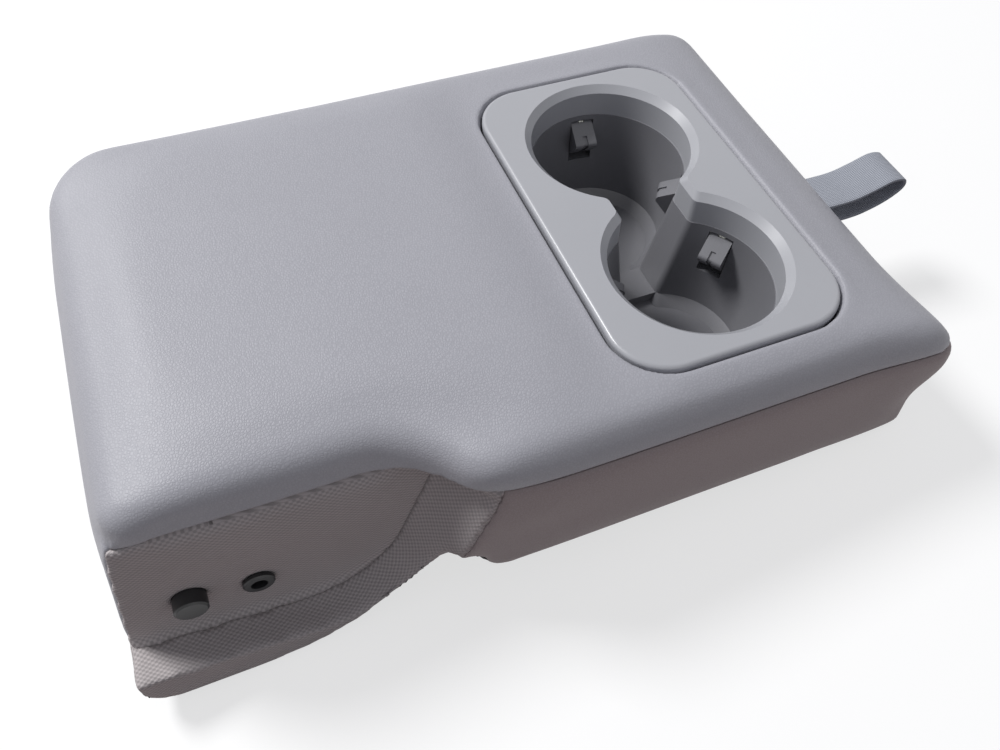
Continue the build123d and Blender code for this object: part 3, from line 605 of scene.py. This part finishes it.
@dataclass(frozen=True)
class Seams:
    """Where the cover is sewn, measured on the armrest at rest, in millimetres."""

    view: SideView = field(default_factory=SideView)
    # The seam round the top, and the seams down the corners of the front and the rear.
    top: float = 51.0
    corners_to: float = 54.0
    front_x: float = 285.0
    front_near: float = -97.0
    front_far: float = 104.0
    rear_x: float = 5.0
    rear_near: float = -79.0
    rear_far: float = 88.0
    # The seam round the underside.
    under_lift: float = 0.9
    under_to: float = 30.0
    # The pocket: its wall, the cushion's side, and the two seams beside its edge.
    wall: float = -82.0
    side: float = -110.0
    lean: Pair = (16.0, 3.0)
    lean_most: float = 1.5
    inside: float = 1.2
    outside: float = -1.6
    pocket: Zone = Zone(x=below(150.0), y=below(-76.0), z=below(54.0))
    panel_y: float = -90.0
    band_inset: float = 0.6
    # The corner between the band and the front side cover, and where the cuts that meet in it run.
    cheek_x: float = 106.0
    cheek_z: float = 12.0
    cheek_level: Zone = Zone(x=below(112.0), y=below(-88.0))
    cheek_upright: Zone = Zone(y=below(-84.0), z=below(16.0))
    # The hole for the cup unit, and the cup unit's own outline.
    well: Zone = Zone(x=(182.0, 295.0), y=(-95.0, 95.0))
    well_floor: float = -11.0
    tuck: float = 60.0
    unit_middle: Pair = (238.5, 0.0)
    unit_half: Pair = (53.5, 91.0)
    unit_corner: float = 24.0
    # The bushes in X, Z and radius, and where they come out: within so much of the wall, or past a Y.
    bushes: tuple[Triple, ...] = ((0.0, 0.0, 7.1), (27.0, -6.0, 5.8))
    bush_cuts: Pair = (8.0, 115.0)
    bush_holes: Pair = (9.0, 112.0)

    def above_under(self, points: np.ndarray) -> np.ndarray:
        """Measures how far each point lies above the seam round the underside."""
        return beside(points[:, (X, Z)], self.view.underside())[0] - self.under_lift

    def in_pocket(self, points: np.ndarray, deep: float = 0.0) -> np.ndarray:
        """Measures how far each point lies inside the pocket's space.

        Args:
            points: One row for each point.
            deep: How deep inside the measure is zero.

        Returns:
            A distance for each point.
        """
        out = np.clip((self.wall - points[:, Y]) / (self.wall - self.side), 0.0, self.lean_most)
        upright = points[:, (X, Z)] - out[:, None] * np.array(self.lean)
        return beside(upright, self.view.scoop())[0] - deep

    def from_unit(self, points: np.ndarray) -> np.ndarray:
        """Measures each point's distance outside the cup unit's upright wall.

        Args:
            points: One row for each point.

        Returns:
            A distance for each point, less than 0 inside.
        """
        reach = np.abs(points[:, :2] - np.array(self.unit_middle)) - np.array(self.unit_half)
        reach += self.unit_corner
        return np.hypot(*np.maximum(reach, 0.0).T) + np.minimum(reach.max(axis=1), 0.0) - self.unit_corner

    def from_bush(self, points: np.ndarray, number: int) -> np.ndarray:
        """Measures each point's distance outside a bush's hole."""
        x, z, radius = self.bushes[number]
        return np.hypot(points[:, X] - x, points[:, Z] - z) - radius

    def at_ends(self, points: np.ndarray, limits: Pair) -> np.ndarray:
        """Marks the points near the wall, or past a Y, where the bushes come out."""
        return (abs(points[:, Y] - self.wall) < limits[0]) | (points[:, Y] > limits[1])

    def lines(self) -> list[tuple[Field, Field]]:
        """Lists every seam and edge.

        Returns:
            A pair for each: a measure that is zero on it, and a mark for the cover that it crosses.
        """
        front = Zone(x=above(self.front_x), z=below(self.corners_to))
        rear = Zone(x=below(self.rear_x), z=below(self.corners_to))
        wall = Zone(x=self.pocket.x, y=(self.panel_y, self.pocket.y[1]), z=self.pocket.z)
        lines = [
            (past(Z, self.top), self.well.misses),
            (self.above_under, Zone(z=below(self.under_to)).holds),
            (past(Y, self.front_near), front.holds),
            (past(Y, self.front_far), front.holds),
            (past(Y, self.rear_near), rear.holds),
            (past(Y, self.rear_far), rear.holds),
            (partial(self.in_pocket, deep=self.inside), wall.holds),
            (partial(self.in_pocket, deep=self.outside), self.pocket.holds),
            (past(Z, self.cheek_z), self.cheek_level.holds),
            (past(X, self.cheek_x), self.cheek_upright.holds),
            (past(Z, self.tuck), self.well.holds),
        ]
        ends = partial(self.at_ends, limits=self.bush_cuts)
        return lines + [(partial(self.from_bush, number=number), ends) for number in range(len(self.bushes))]

    def owners(self, points: np.ndarray) -> list[Panel | None]:
        """Names the panel that each point lies on.

        Args:
            points: One row for each point, in millimetres.

        Returns:
            The panels, with None where there is no cover.
        """
        x, y, z = points.T
        bushes = (self.from_bush(points, 0) < 0) | (self.from_bush(points, 1) < 0)
        holes = self.at_ends(points, self.bush_holes) & bushes
        bare = (self.well.holds(points) & (z < self.tuck) & (z > self.well_floor)) | holes
        front = (x > self.front_x) & (y > self.front_near) & (y < self.front_far)
        rear = (x < self.rear_x) & (y > self.rear_near) & (y < self.rear_far)
        inside = self.in_pocket(points)
        behind = x < self.pocket.x[1]
        knit = (inside > self.inside) & behind & (y > self.panel_y)
        band = (inside > self.outside) & behind & (y > self.side + self.band_inset)
        cheek = ((x < self.cheek_x) & (z < self.cheek_z)) | (x < 0)
        # The first mark that holds decides, and what is left is the front side.
        marks = [
            (bare, None),
            (z > self.top, Panel.TOP),
            (self.above_under(points) < 0, Panel.BOTTOM),
            (front | rear, Panel.TOP),
            (y > 0, Panel.FAR_SIDE),
            (knit, Panel.POCKET),
            (band | cheek, Panel.BAND),
        ]
        names = np.select([mark for mark, _ in marks], list(range(len(marks))), len(marks))
        order = [panel for _, panel in marks] + [Panel.FRONT_SIDE]
        return [order[i] for i in names]


@dataclass(frozen=True)
class Groove:
    """How deep a seam draws the cover in, and how wide the roll is above and below it, in millimetres."""

    depth: float
    above: float
    below: float


@dataclass(frozen=True)
class Rim:
    """How the cover rolls down beside the cup unit: distances from its wall and heights, in millimetres."""

    gap: float = 0.6
    roll: float = 2.6
    reach: Pair = (-3.0, 9.0)
    from_z: float = 50.0
    wall_reach: float = 4.0
    # A surface that faces up by less than this part is the wall of the roll.
    flat: float = 0.35
    crown: float = 70.0
    lift_from: float = 60.0
    lift_whole: float = 3.5
    fine_reach: float = 6.0
    fine_from: float = 52.0


@dataclass(frozen=True)
class Tip:
    """The front corner on the pocket's side, which stands out where three seams meet, in millimetres."""

    place: Triple = (338.0, -108.0, 54.0)
    reach: float = 52.0
    shift: Triple = (6.0, -4.5, -1.5)


@dataclass(frozen=True)
class Wedge:
    """The band's thin lower edge: where its evening starts and where it is whole, in millimetres."""

    rounds: int = 14
    rear: Pair = (45.0, 82.0)
    front: Pair = (130.0, 120.0)
    out: Pair = (-82.0, -88.0)
    down: Pair = (14.0, 6.0)

    def part(self, points: np.ndarray) -> np.ndarray:
        """Tells how far each point is evened.

        Args:
            points: One row for each point.

        Returns:
            A part from 0 to 1 for each point.
        """
        x, y, z = points.T
        along = fade(x, *self.rear) * fade(x, *self.front)
        return along * (fade(y, *self.out) * fade(z, *self.down))


@dataclass
class Cushion:
    """The padded block: one soft form, cut into its sewn panels."""

    seams: Seams = field(default_factory=Seams)
    rim: Rim = field(default_factory=Rim)
    tip: Tip = field(default_factory=Tip)
    wedge: Wedge = field(default_factory=Wedge)
    voxel_mm: float = 2.6
    smoothing: int = 5
    bush_span_mm: Pair = (-81.0, 122.5)
    snap_mm: float = 0.12
    skin_mm: float = 1.2
    # The finer mesh along the pocket's upper seam.
    fine_zone: Zone = Zone(x=below(125.0), y=below(-60.0), z=(41.0, 61.0))
    # The swell: how far inside it starts, how far it may go, and where the cover is held.
    start_in_mm: float = 1.0
    swell_cap_mm: float = 2.2
    swell_frames: int = 20
    swell_easing: int = 18
    held_zones: tuple[Zone, ...] = (
        Zone(z=below(-44.0)),
        Zone(x=(55.0, 125.0), y=below(-84.0), z=below(14.0)),
    )
    held_sides: tuple[Zone, ...] = (Zone(y=below(-74.0)), Zone(y=above(115.0)))
    bush_held_mm: float = 6.0
    # The grooves: along the top seam, along the part of it over the pocket, and along all others.
    edge_groove: Groove = Groove(1.7, 5.0, 5.0)
    pocket_groove: Groove = Groove(3.6, 3.4, 8.0)
    fine_groove: Groove = Groove(0.9, 3.0, 3.0)
    top_slack_mm: float = 0.6
    pocket_side: float = -70.0
    pocket_span: Pair = (-2.0, 112.0)
    # A knitted surface that faces sideways by more than this part is the pocket's wall.
    facing_side: float = 0.72
    # The foam under the cover.
    foam_voxel_mm: float = 3.0
    foam_in_mm: float = 1.8
    filling: tuple[str, ...] = (
        "foam_core", "frame_tube", "side_plate_near", "side_plate_far", "pivot_shaft", "carrier_strap",
        "base_board", "strap_plate", "pivot_bush_near", "pivot_bush_far", "stop_bush_near", "stop_bush_far",
    )

    def united(self) -> bpy.types.Object:
        """Joins the cover and all that it holds into one closed form.

        Returns:
            A new object, remeshed evenly, with only its outer surface.
        """
        least, most = self.bush_span_mm
        joined = bmesh.new()
        for name in [panel.value for panel in Panel] + list(self.filling):
            count = len(joined.verts)
            joined.from_mesh(frame["nodes"][name].data)
            joined.verts.ensure_lookup_table()
            if "bush" in name or name == "pivot_shaft":
                for vert in joined.verts[count:]:
                    vert.co.y = min(max(vert.co.y, least * MM), most * MM)
        mesh = bpy.data.meshes.new("cushion")
        joined.to_mesh(mesh)
        joined.free()
        obj = new_object("cushion", mesh)
        add_voxels(obj, self.voxel_mm)
        smooth = obj.modifiers.new("smooth", "SMOOTH")
        smooth.iterations = self.smoothing
        smooth.factor = 0.5
        applied(obj)
        self.keep_outer(obj.data)
        self.refine(obj.data)
        LOG.info("cushion form: %d vertices", len(obj.data.vertices))
        return obj

    def keep_outer(self, mesh: bpy.types.Mesh) -> None:
        """Deletes the shells of closed spaces inside, and keeps the largest one.

        Args:
            mesh: The remeshed form.
        """
        work = bmesh.new()
        work.from_mesh(mesh)
        work.verts.ensure_lookup_table()
        seen: set[int] = set()
        islands: list[list[bmesh.types.BMVert]] = []
        for start in work.verts:
            if start.index in seen:
                continue
            seen.add(start.index)
            island = [start]
            for vert in island:
                for edge in vert.link_edges:
                    other = edge.other_vert(vert)
                    if other.index not in seen:
                        seen.add(other.index)
                        island.append(other)
            islands.append(island)
        islands.sort(key=len)
        for island in islands[:-1]:
            bmesh.ops.delete(work, geom=island, context="VERTS")
        work.to_mesh(mesh)
        work.free()

    def refine(self, mesh: bpy.types.Mesh) -> None:
        """Halves the mesh's edges beside the cup unit and along the pocket's upper seam.

        Args:
            mesh: The remeshed form.
        """
        points = coordinates(mesh) / MM
        beside_unit = abs(self.seams.from_unit(points)) < self.rim.fine_reach
        close = beside_unit & (points[:, Z] > self.rim.fine_from)
        close |= self.fine_zone.holds(points)
        work = bmesh.new()
        work.from_mesh(mesh)
        edges = [edge for edge in work.edges if all(close[vert.index] for vert in edge.verts)]
        bmesh.ops.subdivide_edges(work, edges=edges, cuts=1, use_grid_fill=True)
        work.to_mesh(mesh)
        work.free()

    def blunt(self, mesh: bpy.types.Mesh) -> None:
        """Evens the band's thin lower edge, and brings out the front corner where seams meet.

        Args:
            mesh: The form.
        """
        points = coordinates(mesh)
        part = self.wedge.part(points / MM)
        points += (eased(mesh, points, self.wedge.rounds) - points) * part[:, None]
        away = np.linalg.norm(points / MM - np.array(self.tip.place), axis=1)
        near = np.clip(1 - away / self.tip.reach, 0, 1)
        points += (near**2 * (3 - 2 * near))[:, None] * np.array(self.tip.shift) * MM
        mesh.vertices.foreach_set("co", points.ravel())

    def tuck_in(self, mesh: bpy.types.Mesh) -> None:
        """Brings the cover close up to the cup unit and rolls it tightly down beside it.

        Args:
            mesh: The form, or the same form at rest.
        """
        rim = self.rim
        points = coordinates(mesh) / MM
        upward = normals(mesh)[:, Z]
        away = self.seams.from_unit(points)
        near = (points[:, Z] > rim.from_z) & (away > rim.reach[0]) & (away < rim.reach[1])
        wall = near & (away < rim.wall_reach) & ((upward < rim.flat) | (away < rim.gap))
        step = 0.01
        slope = [(self.seams.from_unit(points + np.eye(3)[i] * step) - away) / step for i in (X, Y)]
        for i in (X, Y):
            points[:, i] += np.where(wall, (rim.gap - away) * slope[i], 0.0)
        out = np.clip(away - rim.gap, 0.0, rim.roll)
        drop = rim.roll - np.sqrt(rim.roll**2 - (rim.roll - out) ** 2)
        lift = near & (upward >= rim.flat) & (points[:, Z] > rim.lift_from)
        raised = np.maximum(rim.crown - drop - points[:, Z], 0.0) * fade(away, rim.reach[1], rim.lift_whole)
        points[:, Z] += np.where(lift, raised, 0.0)
        mesh.vertices.foreach_set("co", (points * MM).ravel())

    def held(self, points: np.ndarray) -> np.ndarray:
        """Marks where the cover can't fill out.

        Args:
            points: The form's vertices, in millimetres.

        Returns:
            True or False for each point.
        """
        held = self.seams.well.holds(points)
        for zone in self.held_zones:
            held |= zone.holds(points)
        sides = self.held_sides[0].holds(points) | self.held_sides[1].holds(points)
        for number in range(len(self.seams.bushes)):
            held |= (self.seams.from_bush(points, number) < self.bush_held_mm) & sides
        return held

    def swell(self, obj: bpy.types.Object) -> None:
        """Lets the cover fill out over its foam, with the well's rim and the bushes held.

        Args:
            obj: The soft form.
        """
        start = coordinates(obj.data)
        held = self.held(start / MM)
        group = obj.vertex_groups.new(name="held")
        group.add([int(i) for i in np.flatnonzero(held)], 1.0, "REPLACE")
        inward = normals(obj.data) * self.start_in_mm * MM
        inward[held] = 0.0
        obj.data.vertices.foreach_set("co", (start - inward).ravel())
        cloth = obj.modifiers.new("cover", "CLOTH")
        cloth.settings.quality = 4
        cloth.settings.mass = 0.3
        cloth.settings.tension_stiffness = 40.0
        cloth.settings.compression_stiffness = 40.0
        cloth.settings.bending_stiffness = 4.0
        cloth.settings.use_pressure = True
        cloth.settings.uniform_pressure_force = 4.0
        cloth.settings.effector_weights.gravity = 0.0
        cloth.settings.vertex_group_mass = "held"
        cloth.point_cache.frame_start = 1
        cloth.point_cache.frame_end = self.swell_frames
        for number in range(1, self.swell_frames + 1):
            bpy.context.scene.frame_set(number)
        mesh = applied(obj)
        bpy.context.scene.frame_set(1)
        moved = coordinates(mesh) - start
        length = np.linalg.norm(moved, axis=1, keepdims=True)
        moved *= np.minimum(1.0, self.swell_cap_mm * MM / np.maximum(length, TINY))
        moved = eased(mesh, moved, self.swell_easing)
        mesh.vertices.foreach_set("co", (start + moved).ravel())
        LOG.info("cushion swelled by at most %.1f mm", min(float(length.max()) / MM, self.swell_cap_mm))

    def at_rest(self, work: bmesh.types.BMesh) -> np.ndarray:
        """Reads where a form's vertices are at rest, in millimetres.

        Args:
            work: The form, or one panel of it.

        Returns:
            An array with one row for each vertex.
        """
        layer = work.verts.layers.float_vector["rest"]
        work.verts.index_update()
        return np.array([vert[layer][:] for vert in work.verts]) / MM

    def score(self, work: bmesh.types.BMesh) -> None:
        """Cuts an edge into the form along every seam.

        Args:
            work: The form.
        """
        layer = work.verts.layers.float_vector["rest"]
        for measure, mark in self.seams.lines():
            verts = list(work.verts)
            rest = self.at_rest(work)
            level = measure(rest)
            level[abs(level) < self.snap_mm] = 0.0
            here = mark(rest)
            marked = [verts[i] for i in np.flatnonzero(here & (level == 0.0))]
            for edge in list(work.edges):
                a, b = edge.verts
                low, high = level[a.index], level[b.index]
                if low * high < 0 and here[a.index] and here[b.index]:
                    part = float(low / (low - high))
                    place = a[layer].lerp(b[layer], part)
                    vert = bmesh.utils.edge_split(edge, a, part)[1]
                    vert[layer] = place
                    marked.append(vert)
            bmesh.ops.connect_verts(work, verts=marked)

    def groove(self, place: Vector) -> Groove:
        """Picks the groove of a seam.

        Args:
            place: A point on the seam at rest, in millimetres.

        Returns:
            The groove there.
        """
        x, y, z = place
        if abs(z - self.seams.top) >= self.top_slack_mm:
            return self.fine_groove
        if y < self.pocket_side and self.pocket_span[0] < x < self.pocket_span[1]:
            return self.pocket_groove
        return self.edge_groove

    def sew(self, work: bmesh.types.BMesh, owners: list[Panel | None]) -> None:
        """Draws the cover in along the seams between its panels.

        Args:
            work: The form.
            owners: The panel of each face.
        """
        layer = work.verts.layers.float_vector["rest"]
        work.normal_update()
        work.faces.index_update()
        seam = []
        for vert in work.verts:
            meeting = {owners[face.index] for face in vert.link_faces} - {None}
            if len(meeting) > 1:
                seam.append((vert.co.copy(), self.groove(vert[layer] / MM)))
        tree = KDTree(len(seam))
        for number, (point, _) in enumerate(seam):
            tree.insert(point, number)
        tree.balance()
        moves = []
        for vert in work.verts:
            place, number, distance = tree.find(vert.co)
            groove = seam[number][1]
            width = groove.above if vert.co.z > place.z else groove.below
            if distance < width * MM:
                part = 1 - math.sqrt(1 - (1 - distance / width / MM) ** 2)
                moves.append((vert, vert.normal * groove.depth * MM * part))
        for vert, move in moves:
            vert.co -= move

    def lay_cloth(self, work: bmesh.types.BMesh) -> None:
        """Gives every face coordinates along the cloth, in metres.

        Args:
            work: One panel.
        """
        cloth = work.loops.layers.uv.new("cloth")
        rest = self.at_rest(work)
        run = beside(rest[:, (X, Z)], self.seams.view.scoop())[1]
        for face in work.faces:
            flat = abs(face.normal.y) > self.facing_side
            for loop in face.loops:
                x, y, z = rest[loop.vert.index]
                place = (x, z) if flat else (run[loop.vert.index], y)
                loop[cloth].uv = (place[0] * MM, place[1] * MM)

    def panels(self, form: bpy.types.Object, rest: np.ndarray) -> dict[Panel, bpy.types.Object]:
        """Cuts the form along its seams.

        Args:
            form: The whole soft form.
            rest: Its vertices at rest, in metres.

        Returns:
            One object for each panel.
        """
        work = bmesh.new()
        work.from_mesh(form.data)
        layer = work.verts.layers.float_vector.new("rest")
        for vert, place in zip(work.verts, rest):
            vert[layer] = place
        self.score(work)
        centres = []
        for face in work.faces:
            total = Vector()
            for vert in face.verts:
                total += vert[layer]
            centres.append(total / len(face.verts))
        owners = self.seams.owners(np.array([centre[:] for centre in centres]) / MM)
        self.sew(work, owners)
        result: dict[Panel, bpy.types.Object] = {}
        for panel in Panel:
            piece = work.copy()
            piece.faces.ensure_lookup_table()
            others = [face for face in piece.faces if owners[face.index] is not panel]
            bmesh.ops.delete(piece, geom=others, context="FACES")
            if panel in (Panel.POCKET, Panel.BAND):
                self.lay_cloth(piece)
            mesh = bpy.data.meshes.new(panel.value)
            piece.to_mesh(mesh)
            piece.free()
            result[panel] = new_object("cover_" + panel.value, mesh)
        work.free()
        return result

    def core(self, materials: Materials) -> None:
        """Draws the foam in a little, so that it stays under its rounded cover.

        Args:
            materials: The finishes.
        """
        foam = new_object("foam_block", frame["nodes"]["foam_core"].data.copy())
        add_voxels(foam, self.foam_voxel_mm)
        mesh = applied(foam)
        drawn = coordinates(mesh) - normals(mesh) * self.foam_in_mm * MM
        mesh.vertices.foreach_set("co", drawn.ravel())
        materials.dress(foam, "foam")
        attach(foam, "armrest")
        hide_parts("foam_core")

    def build(self, materials: Materials) -> None:
        """Makes the soft panels and hands each to its body and its slot.

        Args:
            materials: The finishes.
        """
        slots = {entry["node"]: entry["material_slot"] for entry in frame["record"]["subparts"]}
        form = self.united()
        calm = new_object("calm", form.data.copy())
        self.blunt(form.data)
        self.swell(form)
        for obj in (form, calm):
            self.tuck_in(obj.data)
        for panel, piece in self.panels(form, coordinates(calm.data)).items():
            skin = piece.modifiers.new("skin", "SOLIDIFY")
            skin.thickness = self.skin_mm * MM
            skin.offset = -1.0
            mesh = applied(piece)
            mesh.shade_smooth()
            materials.dress(piece, slots[panel.value])
            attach(piece, "armrest")
            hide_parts(panel.value)
            LOG.info("%s: %d faces", piece.name, len(mesh.polygons))
        bpy.data.objects.remove(form)
        bpy.data.objects.remove(calm)
        self.core(materials)


@dataclass
class Webbing:
    """The pull strap: one flat ribbon, folded back on itself in a loop, in millimetres."""

    width: float = 22.0
    thick: float = 1.5
    middle: float = -8.0
    edge: float = 0.5
    margin: float = 2.0
    strips: int = 9
    steps: int = 12
    line: tuple[Pair, ...] = (
        (318.8, 5.0), (318.8, 44.0), (323.0, 49.0), (346.0, 49.3), (358.0, 52.0),
        (369.0, 55.6), (376.6, 54.0), (377.4, 49.0), (371.0, 43.4), (361.0, 39.4),
        (350.0, 37.6), (325.0, 37.5), (321.0, 34.0), (320.9, 5.0),
    )

    def path(self) -> np.ndarray:
        """Rounds the strap's line.

        Returns:
            Points in X and Z, at most a few millimetres apart.
        """
        given = np.array([self.line[0]] + list(self.line) + [self.line[-1]])
        points = []
        for a, b, c, d in zip(given, given[1:], given[2:], given[3:]):
            for t in np.linspace(0, 1, self.steps, endpoint=False):
                curve = (2 * a - 5 * b + 4 * c - d) * t * t + (3 * b - a - 3 * c + d) * t**3
                points.append(0.5 * (2 * b + (c - a) * t + curve))
        points.append(given[-1])
        return np.array(points)

    def ring(self) -> list[Pair]:
        """Draws the strap's section, with rounded edges.

        Returns:
            Points round it: a place across the strap, and a part of half its thickness.
        """
        half = self.width / 2
        inner = half - self.edge
        flat = np.linspace(self.margin - half, half - self.margin, self.strips)
        ring = [(-half, -0.5), (-half, 0.5), (-inner, 1.0)]
        ring += [(y, 1.0) for y in flat]
        ring += [(inner, 1.0), (half, 0.5), (half, -0.5), (inner, -1.0)]
        ring += [(y, -1.0) for y in flat[::-1]]
        return ring + [(-inner, -1.0)]

    def build(self, materials: Materials) -> None:
        """Makes the ribbon, with cloth coordinates along and across it.

        Args:
            materials: The finishes.
        """
        path = self.path()
        ahead = np.gradient(path, axis=0)
        ahead /= np.linalg.norm(ahead, axis=1, keepdims=True)
        normal = np.stack([-ahead[:, 1], ahead[:, 0]], axis=1)
        run = np.concatenate(([0.0], np.cumsum(np.linalg.norm(np.diff(path, axis=0), axis=1))))
        ring = self.ring()
        work = bmesh.new()
        cloth = work.loops.layers.uv.new("cloth")
        rows = []
        for place, out in zip(path, normal):
            row = []
            for y, side in ring:
                x, z = place + out * side * (self.thick / 2)
                row.append(work.verts.new((x * MM, (y + self.middle) * MM, z * MM)))
            rows.append(row)
        for number, (low, high) in enumerate(zip(rows, rows[1:])):
            for i, (y, _) in enumerate(ring):
                j = (i + 1) % len(ring)
                face = work.faces.new((low[i], low[j], high[j], high[i]))
                places = ((y, number), (ring[j][0], number), (ring[j][0], number + 1), (y, number + 1))
                for loop, (across, step) in zip(face.loops, places):
                    loop[cloth].uv = (run[step] * MM, across * MM)
        work.faces.new(rows[0])
        work.faces.new(rows[-1])
        bmesh.ops.recalc_face_normals(work, faces=work.faces)
        mesh = bpy.data.meshes.new("webbing")
        work.to_mesh(mesh)
        work.free()
        mesh.shade_smooth()
        strap = new_object("webbing_loop", mesh)
        materials.dress(strap, "webbing")
        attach(strap, "armrest")
        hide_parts("pull_strap")
        LOG.info("webbing loop: %d faces", len(mesh.polygons))


@dataclass
class HardParts:
    """The moulded and steel parts, which keep their CAD shape."""

    def build(self, materials: Materials) -> None:
        """Dresses every rigid node with the finish of its slot.

        Args:
            materials: The finishes.
        """
        soft = {panel.value for panel in Panel} | {"foam_core", "pull_strap"}
        for entry in frame["record"]["subparts"]:
            node = frame["nodes"][entry["node"]]
            if entry["node"] not in soft:
                materials.dress(node, entry["material_slot"])
        LOG.info("hard parts dressed")


def direct_rays(tree: bpy.types.NodeTree) -> bpy.types.NodeSocket:
    """Marks the rays that show a white background: the camera's, and those through glass or off a gloss.

    Args:
        tree: The node tree of a material or a world.

    Returns:
        1 for such a ray, and 0 for any other.
    """
    path = add_node(tree, "ShaderNodeLightPath", {})
    clear = reckon(tree, "MAXIMUM", path.outputs["Is Camera Ray"], path.outputs["Is Transmission Ray"])
    return reckon(tree, "MAXIMUM", clear, path.outputs["Is Glossy Ray"])


@dataclass(frozen=True)
class Lamp:
    """One round, soft lamp: its place and width in metres, and its power in watts."""

    name: str
    place: Triple
    width: float
    power: float

    def build(self, aim: Triple) -> None:
        """Hangs the lamp so that it looks at the armrest.

        Args:
            aim: The point that it looks at, in metres.
        """
        data = bpy.data.lights.new(self.name, "AREA")
        data.shape = "DISK"
        data.size = self.width
        data.energy = self.power
        lamp = bpy.data.objects.new(self.name, data)
        bpy.context.scene.collection.objects.link(lamp)
        look = Vector(aim) - Vector(self.place)
        turned = look.to_track_quat("-Z", "Y").to_matrix().to_4x4()
        lamp.matrix_world = Matrix.Translation(self.place) @ turned


@dataclass
class Studio:
    """The floor, the soft lights and the camera at the photograph's angle."""

    azimuth: float = -25.24
    elevation: float = 54.45
    roll: float = 3.93
    place_mm: Triple = (55.3, -243.4, 340.0)
    lens_mm: float = 31.07
    sensor_mm: float = 36.0
    nearest: float = 0.01
    # The two lines that the armrest rests on, in X and Z, and half the floor's width in metres.
    lobe_mm: Pair = (26.5, -49.8)
    toe_mm: Pair = (338.0, -16.4)
    floor_half: float = 6.0
    # The floor's warm light on the armrest, its surface as the camera sees it, and the glow that whitens it.
    bounce_colour: str = "74605D"
    matt_colour: str = "A2A2A2"
    glow: float = 0.66
    dome_colour: str = "F4F6FF"
    dome: float = 0.29
    white: str = "FFFFFF"
    aim: Triple = (0.15, 0.0, 0.03)
    lamps: tuple[Lamp, ...] = (
        Lamp("key", (-0.88, 1.05, 1.75), 0.75, 48.0),
        Lamp("fill", (0.5, -1.7, 0.5), 1.2, 1.7),
    )

    def camera(self) -> None:
        """Sets the camera up."""
        turn, tip, lean = (math.radians(a) for a in (self.azimuth, self.elevation, self.roll))
        forward = Vector((-math.sin(turn) * math.cos(tip), math.cos(turn) * math.cos(tip), -math.sin(tip)))
        right = Vector((math.cos(turn), math.sin(turn), 0))
        up = right.cross(forward)
        right_leaned = right * math.cos(lean) + up * math.sin(lean)
        up_leaned = up * math.cos(lean) - right * math.sin(lean)
        data = bpy.data.cameras.new("camera")
        data.lens = self.lens_mm
        data.sensor_width = self.sensor_mm
        data.clip_start = self.nearest
        camera = bpy.data.objects.new("camera", data)
        bpy.context.scene.collection.objects.link(camera)
        columns = (right_leaned, up_leaned, -forward)
        turned = Matrix([[c[row] for c in columns] for row in range(3)]).to_4x4()
        camera.matrix_world = Matrix.Translation(Vector(self.place_mm) * MM) @ turned
        bpy.context.scene.camera = camera

    def floor(self) -> None:
        """Lays the floor under the two lines that the armrest rests on."""
        slope = (self.toe_mm[1] - self.lobe_mm[1]) / (self.toe_mm[0] - self.lobe_mm[0])
        size = self.floor_half
        points = []
        for x, y in ((-size, -size), (size, -size), (size, size), (-size, size)):
            points.append((x, y, self.lobe_mm[1] * MM + slope * (x - self.lobe_mm[0] * MM)))
        mesh = bpy.data.meshes.new("floor")
        mesh.from_pydata(points, [], [(0, 1, 2, 3)])
        floor = new_object("floor", mesh)
        material = bpy.data.materials.new("pale_floor")
        material.use_nodes = True
        tree = material.node_tree
        tree.nodes.clear()
        bounce = add_node(tree, "ShaderNodeBsdfDiffuse", {"Color": linear(self.bounce_colour)})
        matt = add_node(tree, "ShaderNodeBsdfDiffuse", {"Color": linear(self.matt_colour)})
        glow = add_node(tree, "ShaderNodeEmission", {"Color": linear(self.white), "Strength": self.glow})
        both = add_node(tree, "ShaderNodeAddShader", {0: matt.outputs[0], 1: glow.outputs[0]})
        parts = {0: direct_rays(tree), 1: bounce.outputs[0], 2: both.outputs[0]}
        mixed = add_node(tree, "ShaderNodeMixShader", parts)
        add_node(tree, "ShaderNodeOutputMaterial", {"Surface": mixed.outputs[0]})
        floor.data.materials.append(material)

    def lights(self) -> None:
        """Lights the scene with the lamps and an even dome, in front of a white background."""
        for lamp in self.lamps:
            lamp.build(self.aim)
        world = bpy.data.worlds.new("room")
        bpy.context.scene.world = world
        world.use_nodes = True
        tree = world.node_tree
        tree.nodes.clear()
        even = {"Color": linear(self.dome_colour), "Strength": self.dome}
        dome = add_node(tree, "ShaderNodeBackground", even)
        white = add_node(tree, "ShaderNodeBackground", {"Color": linear(self.white), "Strength": 1.0})
        parts = {0: direct_rays(tree), 1: dome.outputs[0], 2: white.outputs[0]}
        mixed = add_node(tree, "ShaderNodeMixShader", parts)
        add_node(tree, "ShaderNodeOutputWorld", {"Surface": mixed.outputs[0]})
        bpy.context.scene.view_settings.view_transform = "Standard"

    def build(self) -> None:
        """Sets up the camera, the floor and the lights."""
        self.camera()
        self.floor()
        self.lights()
        LOG.info("studio ready")


def main() -> None:
    """Builds the armrest's looks piece by piece."""
    logging.basicConfig(level=logging.INFO, format="%(message)s")
    materials = Materials()
    HardParts().build(materials)
    Cushion().build(materials)
    Webbing().build(materials)
    Studio().build()


if __name__ == "__main__":
    main()
